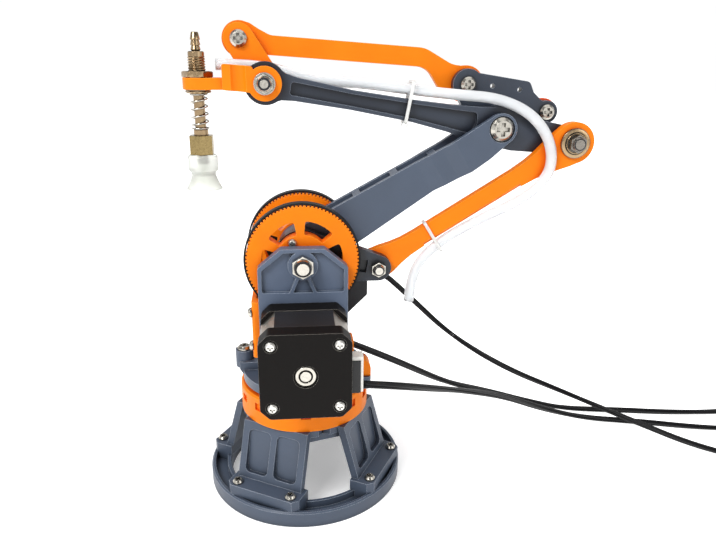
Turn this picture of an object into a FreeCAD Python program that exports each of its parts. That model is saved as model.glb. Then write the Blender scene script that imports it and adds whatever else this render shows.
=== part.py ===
import FreeCAD, Part
import math
import os

# Desktop parallel-link robot arm with a suction tool. Millimetres.
# +X is the way the arm reaches, +Z is up, the origin is the middle of the base ring on the floor.
# The arm's layers are stacked along Y; +Y is the side that the front motor is on.

# Main linkage sizes
SHANK = 120.0
ARM_LEAN = 148.0
FORE_TILT = 10.3
CRANK_LEN = 40.0
SHOULDER_Z = 135.0
TRI_UP = (13.0, 21.0)
TRI_BACK = (-31.0, 7.0)
STEM_FROM_WRIST = 32.6

# Layers along Y
FORE_HALF = 4.0
GAP = 0.3
DRIVE_T = 5.0
ARM_HALF = 8.0
ARM_PLATE = 3.0
FORK_OUT = 11.0
FORK_PLATE = 3.5
TRI_T = 5.0
LINK_T = 4.5
PULLEY_T = 7.5
CRANK_Y0 = 9.6
CRANK_Y1 = 15.0
WALL_IN = 24.5
WALL_T = 6.0

# Pulleys and belts
TEETH = 90
PITCH = 2.0
TOOTH_DEEP = 0.75
SMALL_R = 6.1
BELT_DIST = 40.6
BELT_T = 0.9
BELT_GAP = 0.2

# Stepper motors
MOTOR = 42.3
MOTOR_HOLES = 31.0
MOTOR_LEN = 38.8
CAP_FRONT = 10.0
CAP_REAR = 9.0
CAP_CUT = 4.5
CAP_ROUND = 2.5
STACK_CUT = 7.0
SHAFT_R = 2.5
PILOT_R = 11.0
PILOT_H = 2.0
RUN = 0.05

# Base
RING_R = 55.0
RING_IN = 43.5
RING_H = 8.6
CHANNEL_FLOOR = 4.5
RIM = 2.2
LIP = 2.5
LEG_TURN = 61.0
LEG_COUNT = 4
DRUM_Z = 44.5
PLATE_T = 4.0
DRUM_R = 35.7
DRUM_WALL = 4.0
DRUM_TOP = 60.0
YAW_BOTTOM = 33.0
YAW_LEN = 24.0
FLOOR_Z = 62.0
FLOOR_T = 5.0

# Soft lines
HOSE_R = 2.7
LEAD_R = 1.85

OUT = "parts"
os.makedirs(OUT, exist_ok=True)
V = FreeCAD.Vector


# Small builders
def box(x0, x1, y0, y1, z0, z1):
    return Part.makeBox(x1 - x0, y1 - y0, z1 - z0, V(x0, y0, z0))


def rod(p, r, y0, y1):
    return Part.makeCylinder(r, y1 - y0, V(p[0], y0, p[1]), V(0, 1, 0))


def post(x, y, r, z0, z1):
    return Part.makeCylinder(r, z1 - z0, V(x, y, z0), V(0, 0, 1))


def rounded_wire(pts, rad):
    n = len(pts)
    edges = []
    ends = []
    for i in range(n):
        a, b, c = pts[i - 1], pts[i], pts[(i + 1) % n]
        r = rad[i] if isinstance(rad, (list, tuple)) else rad
        u = (a - b).normalize()
        w = (c - b).normalize()
        half = u.getAngle(w) / 2
        if r <= 0 or half > math.pi / 2 - 0.01:
            ends.append((b, b))
            continue
        cut = min(r / math.tan(half), 0.49 * (a - b).Length, 0.49 * (c - b).Length)
        p1 = b + u * cut
        p2 = b + w * cut
        mid = (u + w).normalize()
        away = cut / math.cos(half)
        pm = b + mid * (away - cut * math.tan(half))
        edges.append(Part.Arc(p1, pm, p2).toShape())
        ends.append((p1, p2))
    for i in range(n):
        p, q = ends[i][1], ends[(i + 1) % n][0]
        if (p - q).Length > 1e-6:
            edges.append(Part.makeLine(p, q))
    return Part.Wire(Part.__sortEdges__(edges))


def prism(pts, y0, y1, rad=0.0):
    wire = rounded_wire([V(x, y0, z) for x, z in pts], rad)
    return Part.Face(wire).extrude(V(0, y1 - y0, 0))


def slab(pts, z0, z1, rad=0.0):
    wire = rounded_wire([V(x, y, z0) for x, y in pts], rad)
    return Part.Face(wire).extrude(V(0, 0, z1 - z0))


def turn_z(profile, x=0.0, y=0.0):
    pts = [V(r + x, y, z) for r, z in profile]
    face = Part.Face(Part.makePolygon(pts + [pts[0]]))
    return face.revolve(V(x, y, 0), V(0, 0, 1), 360)


def hull(p, rp, q, rq, y0, y1):
    dx, dz = q[0] - p[0], q[1] - p[1]
    d = math.hypot(dx, dz)
    base = math.atan2(dz, dx)
    swing = math.acos((rp - rq) / d)
    quad = []
    for c, r, s in ((p, rp, 1), (p, rp, -1), (q, rq, -1), (q, rq, 1)):
        a = base + s * swing
        quad.append((c[0] + r * math.cos(a), c[1] + r * math.sin(a)))
    body = prism(quad, y0, y1)
    return body.fuse([rod(p, rp, y0, y1), rod(q, rq, y0, y1)]).removeSplitter()


def strip(points, half, y0, y1):
    out = None
    for p, q in zip(points, points[1:]):
        piece = hull(p, half, q, half * 0.999, y0, y1)
        out = piece if out is None else out.fuse(piece)
    return out.removeSplitter()


def aim(shape, pos, axis):
    shape = shape.copy()
    turn = FreeCAD.Rotation(V(0, 0, 1), V(*axis))
    shape.Placement = FreeCAD.Placement(V(*pos), turn)
    return shape


def pan_screw(head_r, head_h, shank_r, length):
    top = head_h * 0.45
    head = turn_z([(0, 0), (head_r, 0), (head_r, top), (head_r * 0.72, head_h), (0, head_h)])
    slot = head_r * 0.18
    arm = head_r * 0.55
    deep = head_h * 0.45
    cross = box(-arm, arm, -slot, slot, head_h - deep, head_h + 1)
    cross = cross.fuse(box(-slot, slot, -arm, arm, head_h - deep, head_h + 1))
    shank = post(0, 0, shank_r, -length, 0.0)
    return head.cut(cross).fuse(shank).removeSplitter()


def hex_prism(flats, z0, z1):
    r = flats / math.sqrt(3)
    pts = []
    for i in range(6):
        a = math.radians(60 * i + 30)
        pts.append((r * math.cos(a), r * math.sin(a)))
    return slab(pts, z0, z1)


def lock_nut(flats, high, collar, bore):
    body = hex_prism(flats, 0, high - collar)
    body = body.fuse(turn_z([(0, high - collar), (flats * 0.46, high - collar), (flats * 0.38, high), (0, high)]))
    return body.cut(post(0, 0, bore, -1, high + 1))


def ring_y(p, r_in, r_out, y0, y1):
    return rod(p, r_out, y0, y1).cut(rod(p, r_in, y0 - 1, y1 + 1))


def save(name, shapes):
    if not isinstance(shapes, (list, tuple)):
        shapes = [shapes]
    solids = []
    for s in shapes:
        solids.extend(s.Solids)
    whole = solids[0] if len(solids) == 1 else Part.makeCompound(solids)
    ok = all(s.isValid() and s.Volume > 0 for s in solids)
    print(name, "solids", len(solids), "valid", ok, "volume", round(sum(s.Volume for s in solids), 1))
    whole.exportStep(OUT + "/" + name + ".step")


# Joint centres in the X-Z plane
lean = math.radians(ARM_LEAN)
tilt = math.radians(FORE_TILT)
S = (0.0, SHOULDER_Z)
E = (S[0] + SHANK * math.cos(lean), S[1] + SHANK * math.sin(lean))
W = (E[0] + SHANK * math.cos(tilt), E[1] + SHANK * math.sin(tilt))
K = (-CRANK_LEN * math.cos(tilt), -CRANK_LEN * math.sin(tilt))
C = (S[0] + K[0], S[1] + K[1])
R = (E[0] + K[0], E[1] + K[1])
T1 = (E[0] + TRI_UP[0], E[1] + TRI_UP[1])
T2 = (E[0] + TRI_BACK[0], E[1] + TRI_BACK[1])
H = (W[0] + TRI_UP[0], W[1] + TRI_UP[1])
F = (S[0] + TRI_BACK[0], S[1] + TRI_BACK[1])
NEAR_M = (0.0, SHOULDER_Z - BELT_DIST)
FAR_M = NEAR_M
for label, p in (("S", S), ("E", E), ("W", W), ("C", C), ("R", R), ("T1", T1), ("T2", T2), ("H", H), ("F", F)):
    print("joint", label, round(p[0], 4), round(p[1], 4))
print("near motor", NEAR_M, "far motor", FAR_M)


def arm(s, n):
    return (S[0] + s * math.cos(lean) + n * math.sin(lean), S[1] + s * math.sin(lean) - n * math.cos(lean))


def fore(s, n):
    return (W[0] - s * math.cos(tilt) - n * math.sin(tilt), W[1] - s * math.sin(tilt) + n * math.cos(tilt))


def leg_frame(shape, i):
    shape = shape.copy()
    shape.rotate(V(0, 0, 0), V(0, 0, 1), LEG_TURN + 360.0 / LEG_COUNT * i)
    return shape


def motor_outline(cut, half):
    return [(half, -half + cut), (half, half - cut), (half - cut, half), (-half + cut, half),
            (-half, half - cut), (-half, -half + cut), (-half + cut, -half), (half - cut, -half)]


# Base ring with a channel for the feet
FOOT_T = 5.9
FOOT_OUT = RING_R - 3.7
FOOT_HALF = 21.5
FOOT_CUT = 3.0
M3_HEAD = 2.6
FOOT_HEAD = 2.85
PANEL_HALF = FOOT_HALF - 2.2
M3_HIGH = 2.0
SCREW_RAD = RING_R - 7.4
SCREW_SIDE = 16.0
PIN_R = 1.5
HOLE_R = PIN_R + RUN
PILOT_LOW = 1.5
ring_edge = 0.8
channel_in = RING_IN + LIP
channel_out = RING_R - RIM
base_ring = turn_z([
    (RING_IN, 0), (RING_R, 0), (RING_R, RING_H - ring_edge), (RING_R - ring_edge, RING_H),
    (channel_out, RING_H), (channel_out, CHANNEL_FLOOR), (channel_in, CHANNEL_FLOOR),
    (channel_in, RING_H), (RING_IN + ring_edge, RING_H), (RING_IN, RING_H - ring_edge)])
foot_top = RING_H + FOOT_T
for i in range(LEG_COUNT):
    for side in (-1, 1):
        hole = post(SCREW_RAD, side * SCREW_SIDE, HOLE_R, PILOT_LOW, RING_H + 1)
        base_ring = base_ring.cut(leg_frame(hole, i))
save("base_ring", base_ring)

# Legs: leaning panel with two pockets, foot with cut corners and a lug in the channel, top flange
PANEL_T = 4.2
PANEL_TOP = DRUM_R - 2.0
PANEL_LOW = SCREW_RAD - FOOT_HEAD - 2.3
FLANGE_HALF = 22.5
FLANGE_IN = FLANGE_HALF + 0.5
FLANGE_T = 4.0
LUG_GAP = 0.2
BOSS_R = 3.4
DRUM_SCREW_RAD = MOTOR / 2 + BOSS_R + 1.65
flange_low = DRUM_Z - FLANGE_T
panel = prism([(PANEL_TOP - PANEL_T, DRUM_Z), (PANEL_TOP, DRUM_Z), (PANEL_LOW, foot_top), (PANEL_LOW, RING_H),
               (PANEL_LOW - PANEL_T, RING_H), (PANEL_LOW - PANEL_T, foot_top)], -PANEL_HALF, PANEL_HALF)
foot = slab([(PANEL_LOW - PANEL_T, -FOOT_HALF), (FOOT_OUT - FOOT_CUT, -FOOT_HALF), (FOOT_OUT, -FOOT_HALF + FOOT_CUT),
             (FOOT_OUT, FOOT_HALF - FOOT_CUT), (FOOT_OUT - FOOT_CUT, FOOT_HALF),
             (PANEL_LOW - PANEL_T, FOOT_HALF)], RING_H, foot_top)
lug = turn_z([(channel_in + LUG_GAP, CHANNEL_FLOOR), (channel_out - LUG_GAP, CHANNEL_FLOOR),
              (channel_out - LUG_GAP, RING_H), (channel_in + LUG_GAP, RING_H)])
lug = lug.common(box(0, FOOT_OUT, -FOOT_HALF, FOOT_HALF, 0, RING_H))
flange = box(FLANGE_IN, PANEL_TOP, -FLANGE_HALF, FLANGE_HALF, flange_low, DRUM_Z)
flange = flange.common(post(0, 0, DRUM_R - 0.5, 0, DRUM_Z))
leg = panel.fuse([foot, lug, flange]).removeSplitter()
POCKET_DEEP = (3.0, 0.9)
POCKET_SIDE = (1.8, 15.5)
POCKET_EDGE = (3.2, 4.2)
panel_foot = V(PANEL_LOW, 0, foot_top)
slope = V(PANEL_TOP, 0, DRUM_Z) - panel_foot
slope_long = slope.Length
slope.normalize()
outward = V(slope.z, 0, -slope.x)
for side in (-1, 1):
    pocket_pts = []
    for t, s in ((0, 0), (1, 0), (1, 1), (0, 1)):
        along = POCKET_EDGE[0] if s == 0 else slope_long - POCKET_EDGE[1]
        pocket_pts.append(panel_foot + slope * along + V(0, side * POCKET_SIDE[t], 0) - outward * POCKET_DEEP[s])
    leg = leg.cut(Part.Face(rounded_wire(pocket_pts, 3.0)).extrude(outward * (POCKET_DEEP[0] + 1)))
    leg = leg.cut(post(SCREW_RAD, side * SCREW_SIDE, HOLE_R, 0, foot_top + 1))
leg = leg.cut(post(DRUM_SCREW_RAD, 0, HOLE_R, flange_low - 1, DRUM_Z + 1))
save("legs", [leg_frame(leg, i) for i in range(LEG_COUNT)])

# Plate that ties the legs together under their flanges, open in the middle for the yaw motor
plate_low = flange_low - PLATE_T
PLATE_HALF = DRUM_SCREW_RAD + 3.8
PLATE_CUT = PLATE_HALF - 14.0
half_hole = MOTOR / 2 + 0.5
top_plate = slab(motor_outline(PLATE_HALF - PLATE_CUT, PLATE_HALF), plate_low, flange_low, 1.5)
top_plate = top_plate.cut(slab(motor_outline(CAP_CUT, half_hole), plate_low - 1, flange_low + 1))
top_plate = leg_frame(top_plate, 0)
for i in range(LEG_COUNT):
    top_plate = top_plate.cut(leg_frame(post(DRUM_SCREW_RAD, 0, HOLE_R, plate_low - 1, flange_low + 1), i))
save("top_plate", top_plate)

# Drum: a cup turned over, with bosses for its screws and small notches under the rim
LID = 3.0
DRUM_EDGE = 1.0
SCREW_GRIP = 6.0
NOTCH_HALF = 2.6
NOTCH_DEEP = 1.3
NOTCH_Z = (8.0, 3.5)
drum_in = DRUM_R - DRUM_WALL
drum = turn_z([(drum_in, DRUM_Z), (DRUM_R, DRUM_Z), (DRUM_R, DRUM_TOP - DRUM_EDGE),
               (DRUM_R - DRUM_EDGE, DRUM_TOP), (PILOT_R + 0.3, DRUM_TOP), (PILOT_R + 0.3, DRUM_TOP - LID),
               (drum_in, DRUM_TOP - LID)])
NOTCHES = 16
half = MOTOR_HOLES / 2
for i in range(LEG_COUNT):
    boss = post(DRUM_SCREW_RAD, 0, BOSS_R, DRUM_Z, DRUM_TOP - LID)
    drum = drum.fuse(leg_frame(boss, i))
for i in range(LEG_COUNT):
    drum = drum.cut(leg_frame(post(DRUM_SCREW_RAD, 0, HOLE_R, DRUM_Z - 1, DRUM_Z + SCREW_GRIP + 1), i))
    drum = drum.cut(leg_frame(post(half, half, HOLE_R, DRUM_TOP - LID - 1, DRUM_TOP + 1), i))
notch = box(DRUM_R - NOTCH_DEEP, DRUM_R + 1, -NOTCH_HALF, NOTCH_HALF, DRUM_TOP - NOTCH_Z[0], DRUM_TOP - NOTCH_Z[1])
for i in range(NOTCHES):
    cutter = notch.copy()
    cutter.rotate(V(0, 0, 0), V(0, 0, 1), 360.0 / NOTCHES * i)
    drum = drum.cut(cutter)
save("drum", drum)

# Screws of the base: feet, drum, yaw motor
foot_screw = pan_screw(FOOT_HEAD, M3_HIGH, PIN_R, foot_top - PILOT_LOW - 0.5)
drum_screw = pan_screw(M3_HEAD, M3_HIGH, PIN_R, PLATE_T + FLANGE_T + SCREW_GRIP)
LID_HEAD = (2.4, 1.4)
LID_GRIP = 3.5
lid_screw = pan_screw(LID_HEAD[0], LID_HEAD[1], PIN_R, LID + LID_GRIP)
base_screws = []
for i in range(LEG_COUNT):
    for side in (-1, 1):
        base_screws.append(leg_frame(aim(foot_screw, (SCREW_RAD, side * SCREW_SIDE, foot_top), (0, 0, 1)), i))
    base_screws.append(leg_frame(aim(drum_screw, (DRUM_SCREW_RAD, 0, plate_low), (0, 0, -1)), i))
    base_screws.append(leg_frame(aim(lid_screw, (half, half, DRUM_TOP), (0, 0, 1)), i))
save("base_screws", base_screws)

# Glide ring between the drum and the turret floor
glide_out = DRUM_R - DRUM_WALL
glide_in = MOTOR_HOLES / math.sqrt(2) + LID_HEAD[0] + 1.5
save("glide_ring", turn_z([(glide_in, DRUM_TOP), (glide_out, DRUM_TOP), (glide_out, FLOOR_Z - GAP),
                           (glide_in, FLOOR_Z - GAP)]))


# Stepper motors, built along +Z from the mounting face backwards, then aimed
RECESS_R = 5.6
RECESS_DEEP = 1.5
RACE = (3.3, 4.8)
RACE_H = 0.7
BACK_HOLE = 6.0
BACK_SEAT = (3.1, 0.6)
FRONT_HOLE = 4.5


def motor_parts(length, cap_front, cap_rear):
    half = MOTOR / 2
    bore = post(0, 0, SHAFT_R + RUN, -PILOT_H - 1, length + 1)
    front = slab(motor_outline(CAP_CUT, half), 0, cap_front, CAP_ROUND)
    front = front.fuse(post(0, 0, PILOT_R, -PILOT_H, 0)).cut(bore)
    rear = slab(motor_outline(CAP_CUT, half), length - cap_rear, length, CAP_ROUND)
    rear = rear.cut(post(0, 0, RECESS_R, length - RECESS_DEEP, length + 1))
    race = post(0, 0, RACE[1], length - RECESS_DEEP - 0.5, length - RECESS_DEEP + RACE_H)
    race = race.cut(post(0, 0, RACE[0], 0, length + 1))
    rear = rear.fuse(race).removeSplitter().cut(bore)
    stack = slab(motor_outline(STACK_CUT, half - 0.15), cap_front, length - cap_rear).cut(bore)
    holes = []
    h = MOTOR_HOLES / 2
    for sx in (-1, 1):
        for sy in (-1, 1):
            holes.append(post(sx * h, sy * h, HOLE_R, -1, FRONT_HOLE))
            holes.append(post(sx * h, sy * h, HOLE_R, length - BACK_HOLE, length + 1))
            rear = rear.cut(post(sx * h, sy * h, BACK_SEAT[0], length - BACK_SEAT[1], length + 1))
    for hole in holes:
        front = front.cut(hole)
        rear = rear.cut(hole)
    return stack, front, rear


def motor_at(shape, centre, face, way):
    shape = shape.copy()
    if way == "up":
        shape.rotate(V(0, 0, 0), V(1, 0, 0), 180)
        shape.rotate(V(0, 0, 0), V(0, 0, 1), LEG_TURN)
        shape.translate(V(0, 0, face))
        return shape
    shape.rotate(V(0, 0, 0), V(1, 0, 0), -90 if way == "near" else 90)
    shape.translate(V(centre[0], face, centre[1]))
    return shape


yaw_stack, yaw_front, yaw_rear = motor_parts(YAW_LEN, 8.0, 7.0)
yaw_face = DRUM_TOP - LID
save("yaw_motor_stack", motor_at(yaw_stack, None, yaw_face, "up"))
save("yaw_motor_caps", [motor_at(s, None, yaw_face, "up") for s in (yaw_front, yaw_rear)])
HUB_R = 13.0
NECK_R = 6.0
yaw_shaft = post(0, 0, SHAFT_R, YAW_BOTTOM + 1.0, FLOOR_Z + FLOOR_T + 6.0)
hub = post(0, 0, HUB_R, FLOOR_Z + FLOOR_T, FLOOR_Z + FLOOR_T + 4.0)
neck = post(0, 0, NECK_R, FLOOR_Z, FLOOR_Z + FLOOR_T)
save("yaw_motor_shaft", yaw_shaft.fuse([hub, neck]).removeSplitter())

face_near = WALL_IN + WALL_T
side_stack, side_front, side_rear = motor_parts(MOTOR_LEN, CAP_FRONT, CAP_REAR)
spots = ((NEAR_M, face_near, "near"), (FAR_M, -face_near, "far"))
save("side_motor_stacks", [motor_at(side_stack, *s) for s in spots])
save("side_motor_caps", [motor_at(p, *s) for s in spots for p in (side_front, side_rear)])
back_screw = pan_screw(2.3, 1.7, PIN_R, 5.0)
mount_screw = pan_screw(M3_HEAD, M3_HIGH, PIN_R, WALL_T + 4.0)
side_screws = []
for centre, face, way in spots:
    sign = 1 if way == "near" else -1
    for sx in (-1, 1):
        for sz in (-1, 1):
            x = centre[0] + sx * MOTOR_HOLES / 2
            z = centre[1] + sz * MOTOR_HOLES / 2
            side_screws.append(aim(back_screw, (x, face + sign * (MOTOR_LEN - BACK_SEAT[1]), z), (0, sign, 0)))
            side_screws.append(aim(mount_screw, (x, face - sign * WALL_T, z), (0, -sign, 0)))
save("side_motor_screws", side_screws)

# Sockets and plugs of the two side motors, on the side away from the reach
SOCKET_OUT = 4.4
SOCKET_Y = (26.5, 33.5)
PLUG_OUT = 1.3
SOCKET_DEEP = 2.4
LATCH_T = 2.0
LATCH_GAP = 0.3
SOCKET_Z = {"near": (-12.0, 4.5), "far": (-4.5, 12.0)}
sockets = []
plugs = []
for centre, face, way in spots:
    sign = 1 if way == "near" else -1
    x1 = centre[0] - MOTOR / 2
    ya = face + sign * SOCKET_Y[0]
    yb = face + sign * SOCKET_Y[1]
    y0, y1 = min(ya, yb), max(ya, yb)
    z0 = centre[1] + SOCKET_Z[way][0]
    z1 = centre[1] + SOCKET_Z[way][1]
    body = box(x1 - SOCKET_OUT, x1, y0, y1, z0, z1)
    body = body.cut(box(x1 - SOCKET_OUT - 1, x1 - SOCKET_DEEP, y0 + 1.0, y1 - 1.0, z0 + 1.2, z1 - 1.2))
    sockets.append(body)
    tip = x1 - SOCKET_OUT - PLUG_OUT
    plug = box(tip, x1 - SOCKET_DEEP, y0 + 1.05, y1 - 1.05, z0 + 1.25, z1 - 1.25)
    plug = plug.fuse(box(tip, x1 - SOCKET_OUT - 0.05, y0 + 0.4, y1 - 0.4, z0 + 0.4, z1 - 0.4))
    latch = box(tip, x1 - LATCH_GAP, y0 + 0.4, y1 - 0.4, z1 + 0.1, z1 + LATCH_T)
    latch = latch.fuse(box(tip, x1 - SOCKET_OUT - 0.05, y0 + 0.4, y1 - 0.4, z1 - 1.0, z1 + LATCH_T))
    plugs.append(plug.fuse(latch).removeSplitter())
save("motor_sockets", sockets)

# Turret floor with a front boss on a sloping arm and a rear ear
FLOOR_R = DRUM_R - 1.5
BOSS_X = DRUM_R - 2.5
BOSS_OUT = 5.0
BOSS_LOW = 67.6
BOSS_TOP = 77.6
BOSS_HOLE = 9.0
ARM_WIDE = 6.0
REAR_X = DRUM_R - 0.2
EAR_TOP = 69.0
PAD_LONG = 7.0
REAR_Y = (12.5, 23.5)
floor_top = FLOOR_Z + FLOOR_T
WALL_HALF = 22.3
floor = post(0, 0, FLOOR_R, FLOOR_Z, floor_top)
wall_foot = WALL_HALF - 2.3
for side in (-1, 1):
    y_in = 18.0 * side
    y_out = face_near * side
    floor = floor.fuse(box(-wall_foot, wall_foot, min(y_in, y_out), max(y_in, y_out), FLOOR_Z, floor_top))
boss_arm = prism([(BOSS_X - 18.0, FLOOR_Z), (BOSS_X - 1.0, FLOOR_Z), (BOSS_X + 2.5, BOSS_LOW),
                  (BOSS_X + 2.5, BOSS_LOW + 4.0), (BOSS_X - 10.0, BOSS_LOW + 4.0),
                  (BOSS_X - 18.0, floor_top)], -ARM_WIDE, ARM_WIDE)
floor = floor.fuse([boss_arm, post(BOSS_X, 0, BOSS_OUT, BOSS_LOW, BOSS_TOP)])
rear_ear = slab([(-REAR_X, REAR_Y[0]), (-16.0, REAR_Y[0]), (-16.0, REAR_Y[1]), (-REAR_X, REAR_Y[1])],
                FLOOR_Z, floor_top, 2.0)
rear_pad = slab([(-REAR_X, REAR_Y[0]), (PAD_LONG - REAR_X, REAR_Y[0]), (PAD_LONG - REAR_X, REAR_Y[1]),
                 (-REAR_X, REAR_Y[1])], floor_top, EAR_TOP, 2.0)
floor = floor.fuse(rear_pad)
floor = floor.fuse(rear_ear).removeSplitter()
floor = floor.cut(post(0, 0, NECK_R + 0.02, FLOOR_Z - 1, floor_top + 1))
floor = floor.cut(post(BOSS_X, 0, HOLE_R, BOSS_TOP - BOSS_HOLE, BOSS_TOP + 1))
save("turret_floor", floor)

# Near wall: cut corners, pocket round the nut boss, two ribs
WALL_TOP = 143.4
WALL_SHOULDER = 133.8
WALL_NECK = 10.8
POCKET = 2.4
BAND_Z = 121.0
NUT_BOSS = 7.4
RIB_HALF = 0.9
RIB_FOOT = 6.2
near_pts = [(-WALL_HALF, floor_top), (WALL_HALF, floor_top), (WALL_HALF, WALL_SHOULDER), (WALL_NECK, WALL_TOP),
            (-WALL_NECK, WALL_TOP), (-WALL_HALF, WALL_SHOULDER)]
near_wall = prism(near_pts, WALL_IN, face_near, [0, 0, 1.5, 1.5, 1.5, 1.5])
inset = 1.9
pocket_pts = [(-WALL_HALF + inset, BAND_Z), (WALL_HALF - inset, BAND_Z), (WALL_HALF - inset, WALL_SHOULDER - 1.2),
              (WALL_NECK - 1.4, WALL_TOP - inset), (-WALL_NECK + 1.4, WALL_TOP - inset),
              (-WALL_HALF + inset, WALL_SHOULDER - 1.2)]
pocket = prism(pocket_pts, face_near - POCKET, face_near + 1, 1.2)
pocket = pocket.cut(rod(S, NUT_BOSS, 0, face_near + 2))
for side in (-1, 1):
    foot_x = side * RIB_FOOT
    rib = prism([(-RIB_HALF, S[1]), (RIB_HALF, S[1]), (foot_x + RIB_HALF, BAND_Z - 1),
                 (foot_x - RIB_HALF, BAND_Z - 1)], 0, face_near + 2)
    pocket = pocket.cut(rib)
near_wall = near_wall.cut(pocket)
S_BOLT = 3.0
for wall_hole in (rod(S, S_BOLT + RUN, 0, 60), rod(NEAR_M, PILOT_R + 0.2, 0, 60)):
    near_wall = near_wall.cut(wall_hole)
for sx in (-1, 1):
    for sz in (-1, 1):
        spot = (NEAR_M[0] + sx * MOTOR_HOLES / 2, NEAR_M[1] + sz * MOTOR_HOLES / 2)
        near_wall = near_wall.cut(rod(spot, HOLE_R, 0, 60))
save("near_wall", near_wall)

# Far wall: it carries the far motor and, on a rear ear, the fixed pivot of the level link
FAR_EAR = 38.4
FAR_EAR_Z = (98.6, 117.0)
PIVOT_BOSS = 5.0
far_pts = [(-WALL_HALF, floor_top), (WALL_HALF, floor_top), (WALL_HALF, WALL_SHOULDER), (WALL_NECK, WALL_TOP),
           (-WALL_NECK, WALL_TOP), (F[0] + 4, F[1] + 7), (F[0] - 6, F[1] + 4), (F[0] - 6, F[1] - 5), (-28.0, 126.0),
           (-FAR_EAR, FAR_EAR_Z[1]), (-FAR_EAR, FAR_EAR_Z[0]), (-WALL_HALF, FAR_EAR_Z[0] - FAR_EAR + WALL_HALF)]
far_wall = prism(far_pts, -face_near, -WALL_IN, [0, 0, 1.5, 1.5, 1.5, 4, 4, 4, 6, 4, 1.5, 0])
LINK_FAR = -(FORK_OUT + GAP + TRI_T + GAP + LINK_T)
far_wall = far_wall.fuse(rod(F, PIVOT_BOSS, -WALL_IN, LINK_FAR - GAP)).removeSplitter()
F_PIN = 2.0
for wall_hole in (rod(S, S_BOLT + RUN, -60, 0), rod(FAR_M, PILOT_R + 0.2, -60, 0), rod(F, F_PIN + RUN, -60, 0)):
    far_wall = far_wall.cut(wall_hole)
for sx in (-1, 1):
    for sz in (-1, 1):
        spot = (FAR_M[0] + sx * MOTOR_HOLES / 2, FAR_M[1] + sz * MOTOR_HOLES / 2)
        far_wall = far_wall.cut(rod(spot, HOLE_R, -60, 0))
save("far_wall", far_wall)

# Front cover across the walls' front edges
COVER_T = 3.8
COVER_Z = (86.0, 116.0)
COVER_HALF = 30.0
cover_pts = [(WALL_HALF, -COVER_HALF), (WALL_HALF + COVER_T, -COVER_HALF), (WALL_HALF + COVER_T, COVER_HALF),
             (WALL_HALF, COVER_HALF)]
front_cover = slab(cover_pts, COVER_Z[0], COVER_Z[1], [0, 2.0, 2.0, 0])
front_cover = front_cover.cut(box(WALL_HALF - 1, WALL_HALF + 1.4, -WALL_IN + 1, WALL_IN - 1, 0, 200))
cover_spots = []
for side in (-1, 1):
    for z in (COVER_Z[0] + 6, COVER_Z[1] - 6):
        cover_spots.append((side * (WALL_IN + WALL_T / 2), z))
for y, z in cover_spots:
    hole = Part.makeCylinder(1.25 + RUN, 30, V(10, y, z), V(1, 0, 0))
    front_cover = front_cover.cut(hole)
save("front_cover", front_cover)
cover_screw = pan_screw(2.6, 1.8, 1.25, COVER_T - 0.2)
boss_screw = pan_screw(4.1, 1.9, PIN_R, BOSS_HOLE - 0.5)
turret_screws = []
for y, z in cover_spots:
    turret_screws.append(aim(cover_screw, (WALL_HALF + COVER_T, y, z), (1, 0, 0)))
turret_screws.append(aim(boss_screw, (BOSS_X, 0, BOSS_TOP), (0, 0, 1)))
save("turret_screws", turret_screws)

# Cable guide on the rear ear: a rounded lug and a post bored for the yaw motor's lead
LEAD_OUT = ((-21.0, 17.2, 88.3), (-35.0, 14.2, 80.8))
GUIDE_Y = (13.0, 22.0)
GUIDE_LUG = 79.0
GUIDE_POST = (-26.2, -18.6, 91.0)
guide = prism([(-REAR_X, floor_top), (GUIDE_POST[1], floor_top), (GUIDE_POST[1], GUIDE_LUG), (-REAR_X, GUIDE_LUG)],
              GUIDE_Y[0], GUIDE_Y[1], [0, 0, 0, 6.0]).cut(rear_pad)
guide_post = prism([(GUIDE_POST[0], floor_top), (GUIDE_POST[1], floor_top), (GUIDE_POST[1], GUIDE_POST[2]),
                    (GUIDE_POST[0], GUIDE_POST[2])], GUIDE_Y[0], GUIDE_Y[1], [0, 0, 1.5, 1.5])
guide = guide.fuse(guide_post).removeSplitter()
lead_way = V(*LEAD_OUT[1]) - V(*LEAD_OUT[0])
guide = guide.cut(Part.makeCylinder(LEAD_R + 0.15, 30, V(*LEAD_OUT[0]), lead_way))
save("cable_guide", guide)

# Shoulder bolt with a lock nut at each end
bolt_y = face_near + 6.5
nut6 = lock_nut(10.0, 6.0, 2.0, S_BOLT)
shoulder = rod(S, S_BOLT, -bolt_y, bolt_y)
nuts = [aim(nut6, (S[0], face_near, S[1]), (0, 1, 0)), aim(nut6, (S[0], -face_near, S[1]), (0, -1, 0))]
save("shoulder_bolt", [shoulder.fuse(nuts).removeSplitter()])

# Fixed pivot of the level link: a screw with a sunk head
SUNK = 2.2
LINK_NEAR = LINK_FAR + LINK_T
f_head = rod(F, 3.5, LINK_NEAR - SUNK, LINK_NEAR)
f_pin = rod(F, F_PIN, -face_near - 1.5, LINK_NEAR - SUNK)
f_nut = aim(lock_nut(7.0, 4.0, 1.2, F_PIN), (F[0], -face_near, F[1]), (0, -1, 0))
save("level_pivot", f_head.fuse([f_pin, f_nut]).removeSplitter())

# Belts
BIG_R = TEETH * PITCH / (2 * math.pi) - 0.25
belt_in = BIG_R + BELT_GAP
small_in = SMALL_R + BELT_GAP
belts = []
BELT_Y = ((CRANK_Y1 + 1.9, CRANK_Y1 + 6.9), (-ARM_HALF - 6.7, -ARM_HALF - 1.7))
for centre, (y0, y1) in zip((NEAR_M, FAR_M), BELT_Y):
    loop = hull(S, belt_in + BELT_T, centre, small_in + BELT_T, y0, y1)
    belts.append(loop.cut(hull(S, belt_in, centre, small_in, y0 - 1, y1 + 1)))
save("belts", belts)

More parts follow.
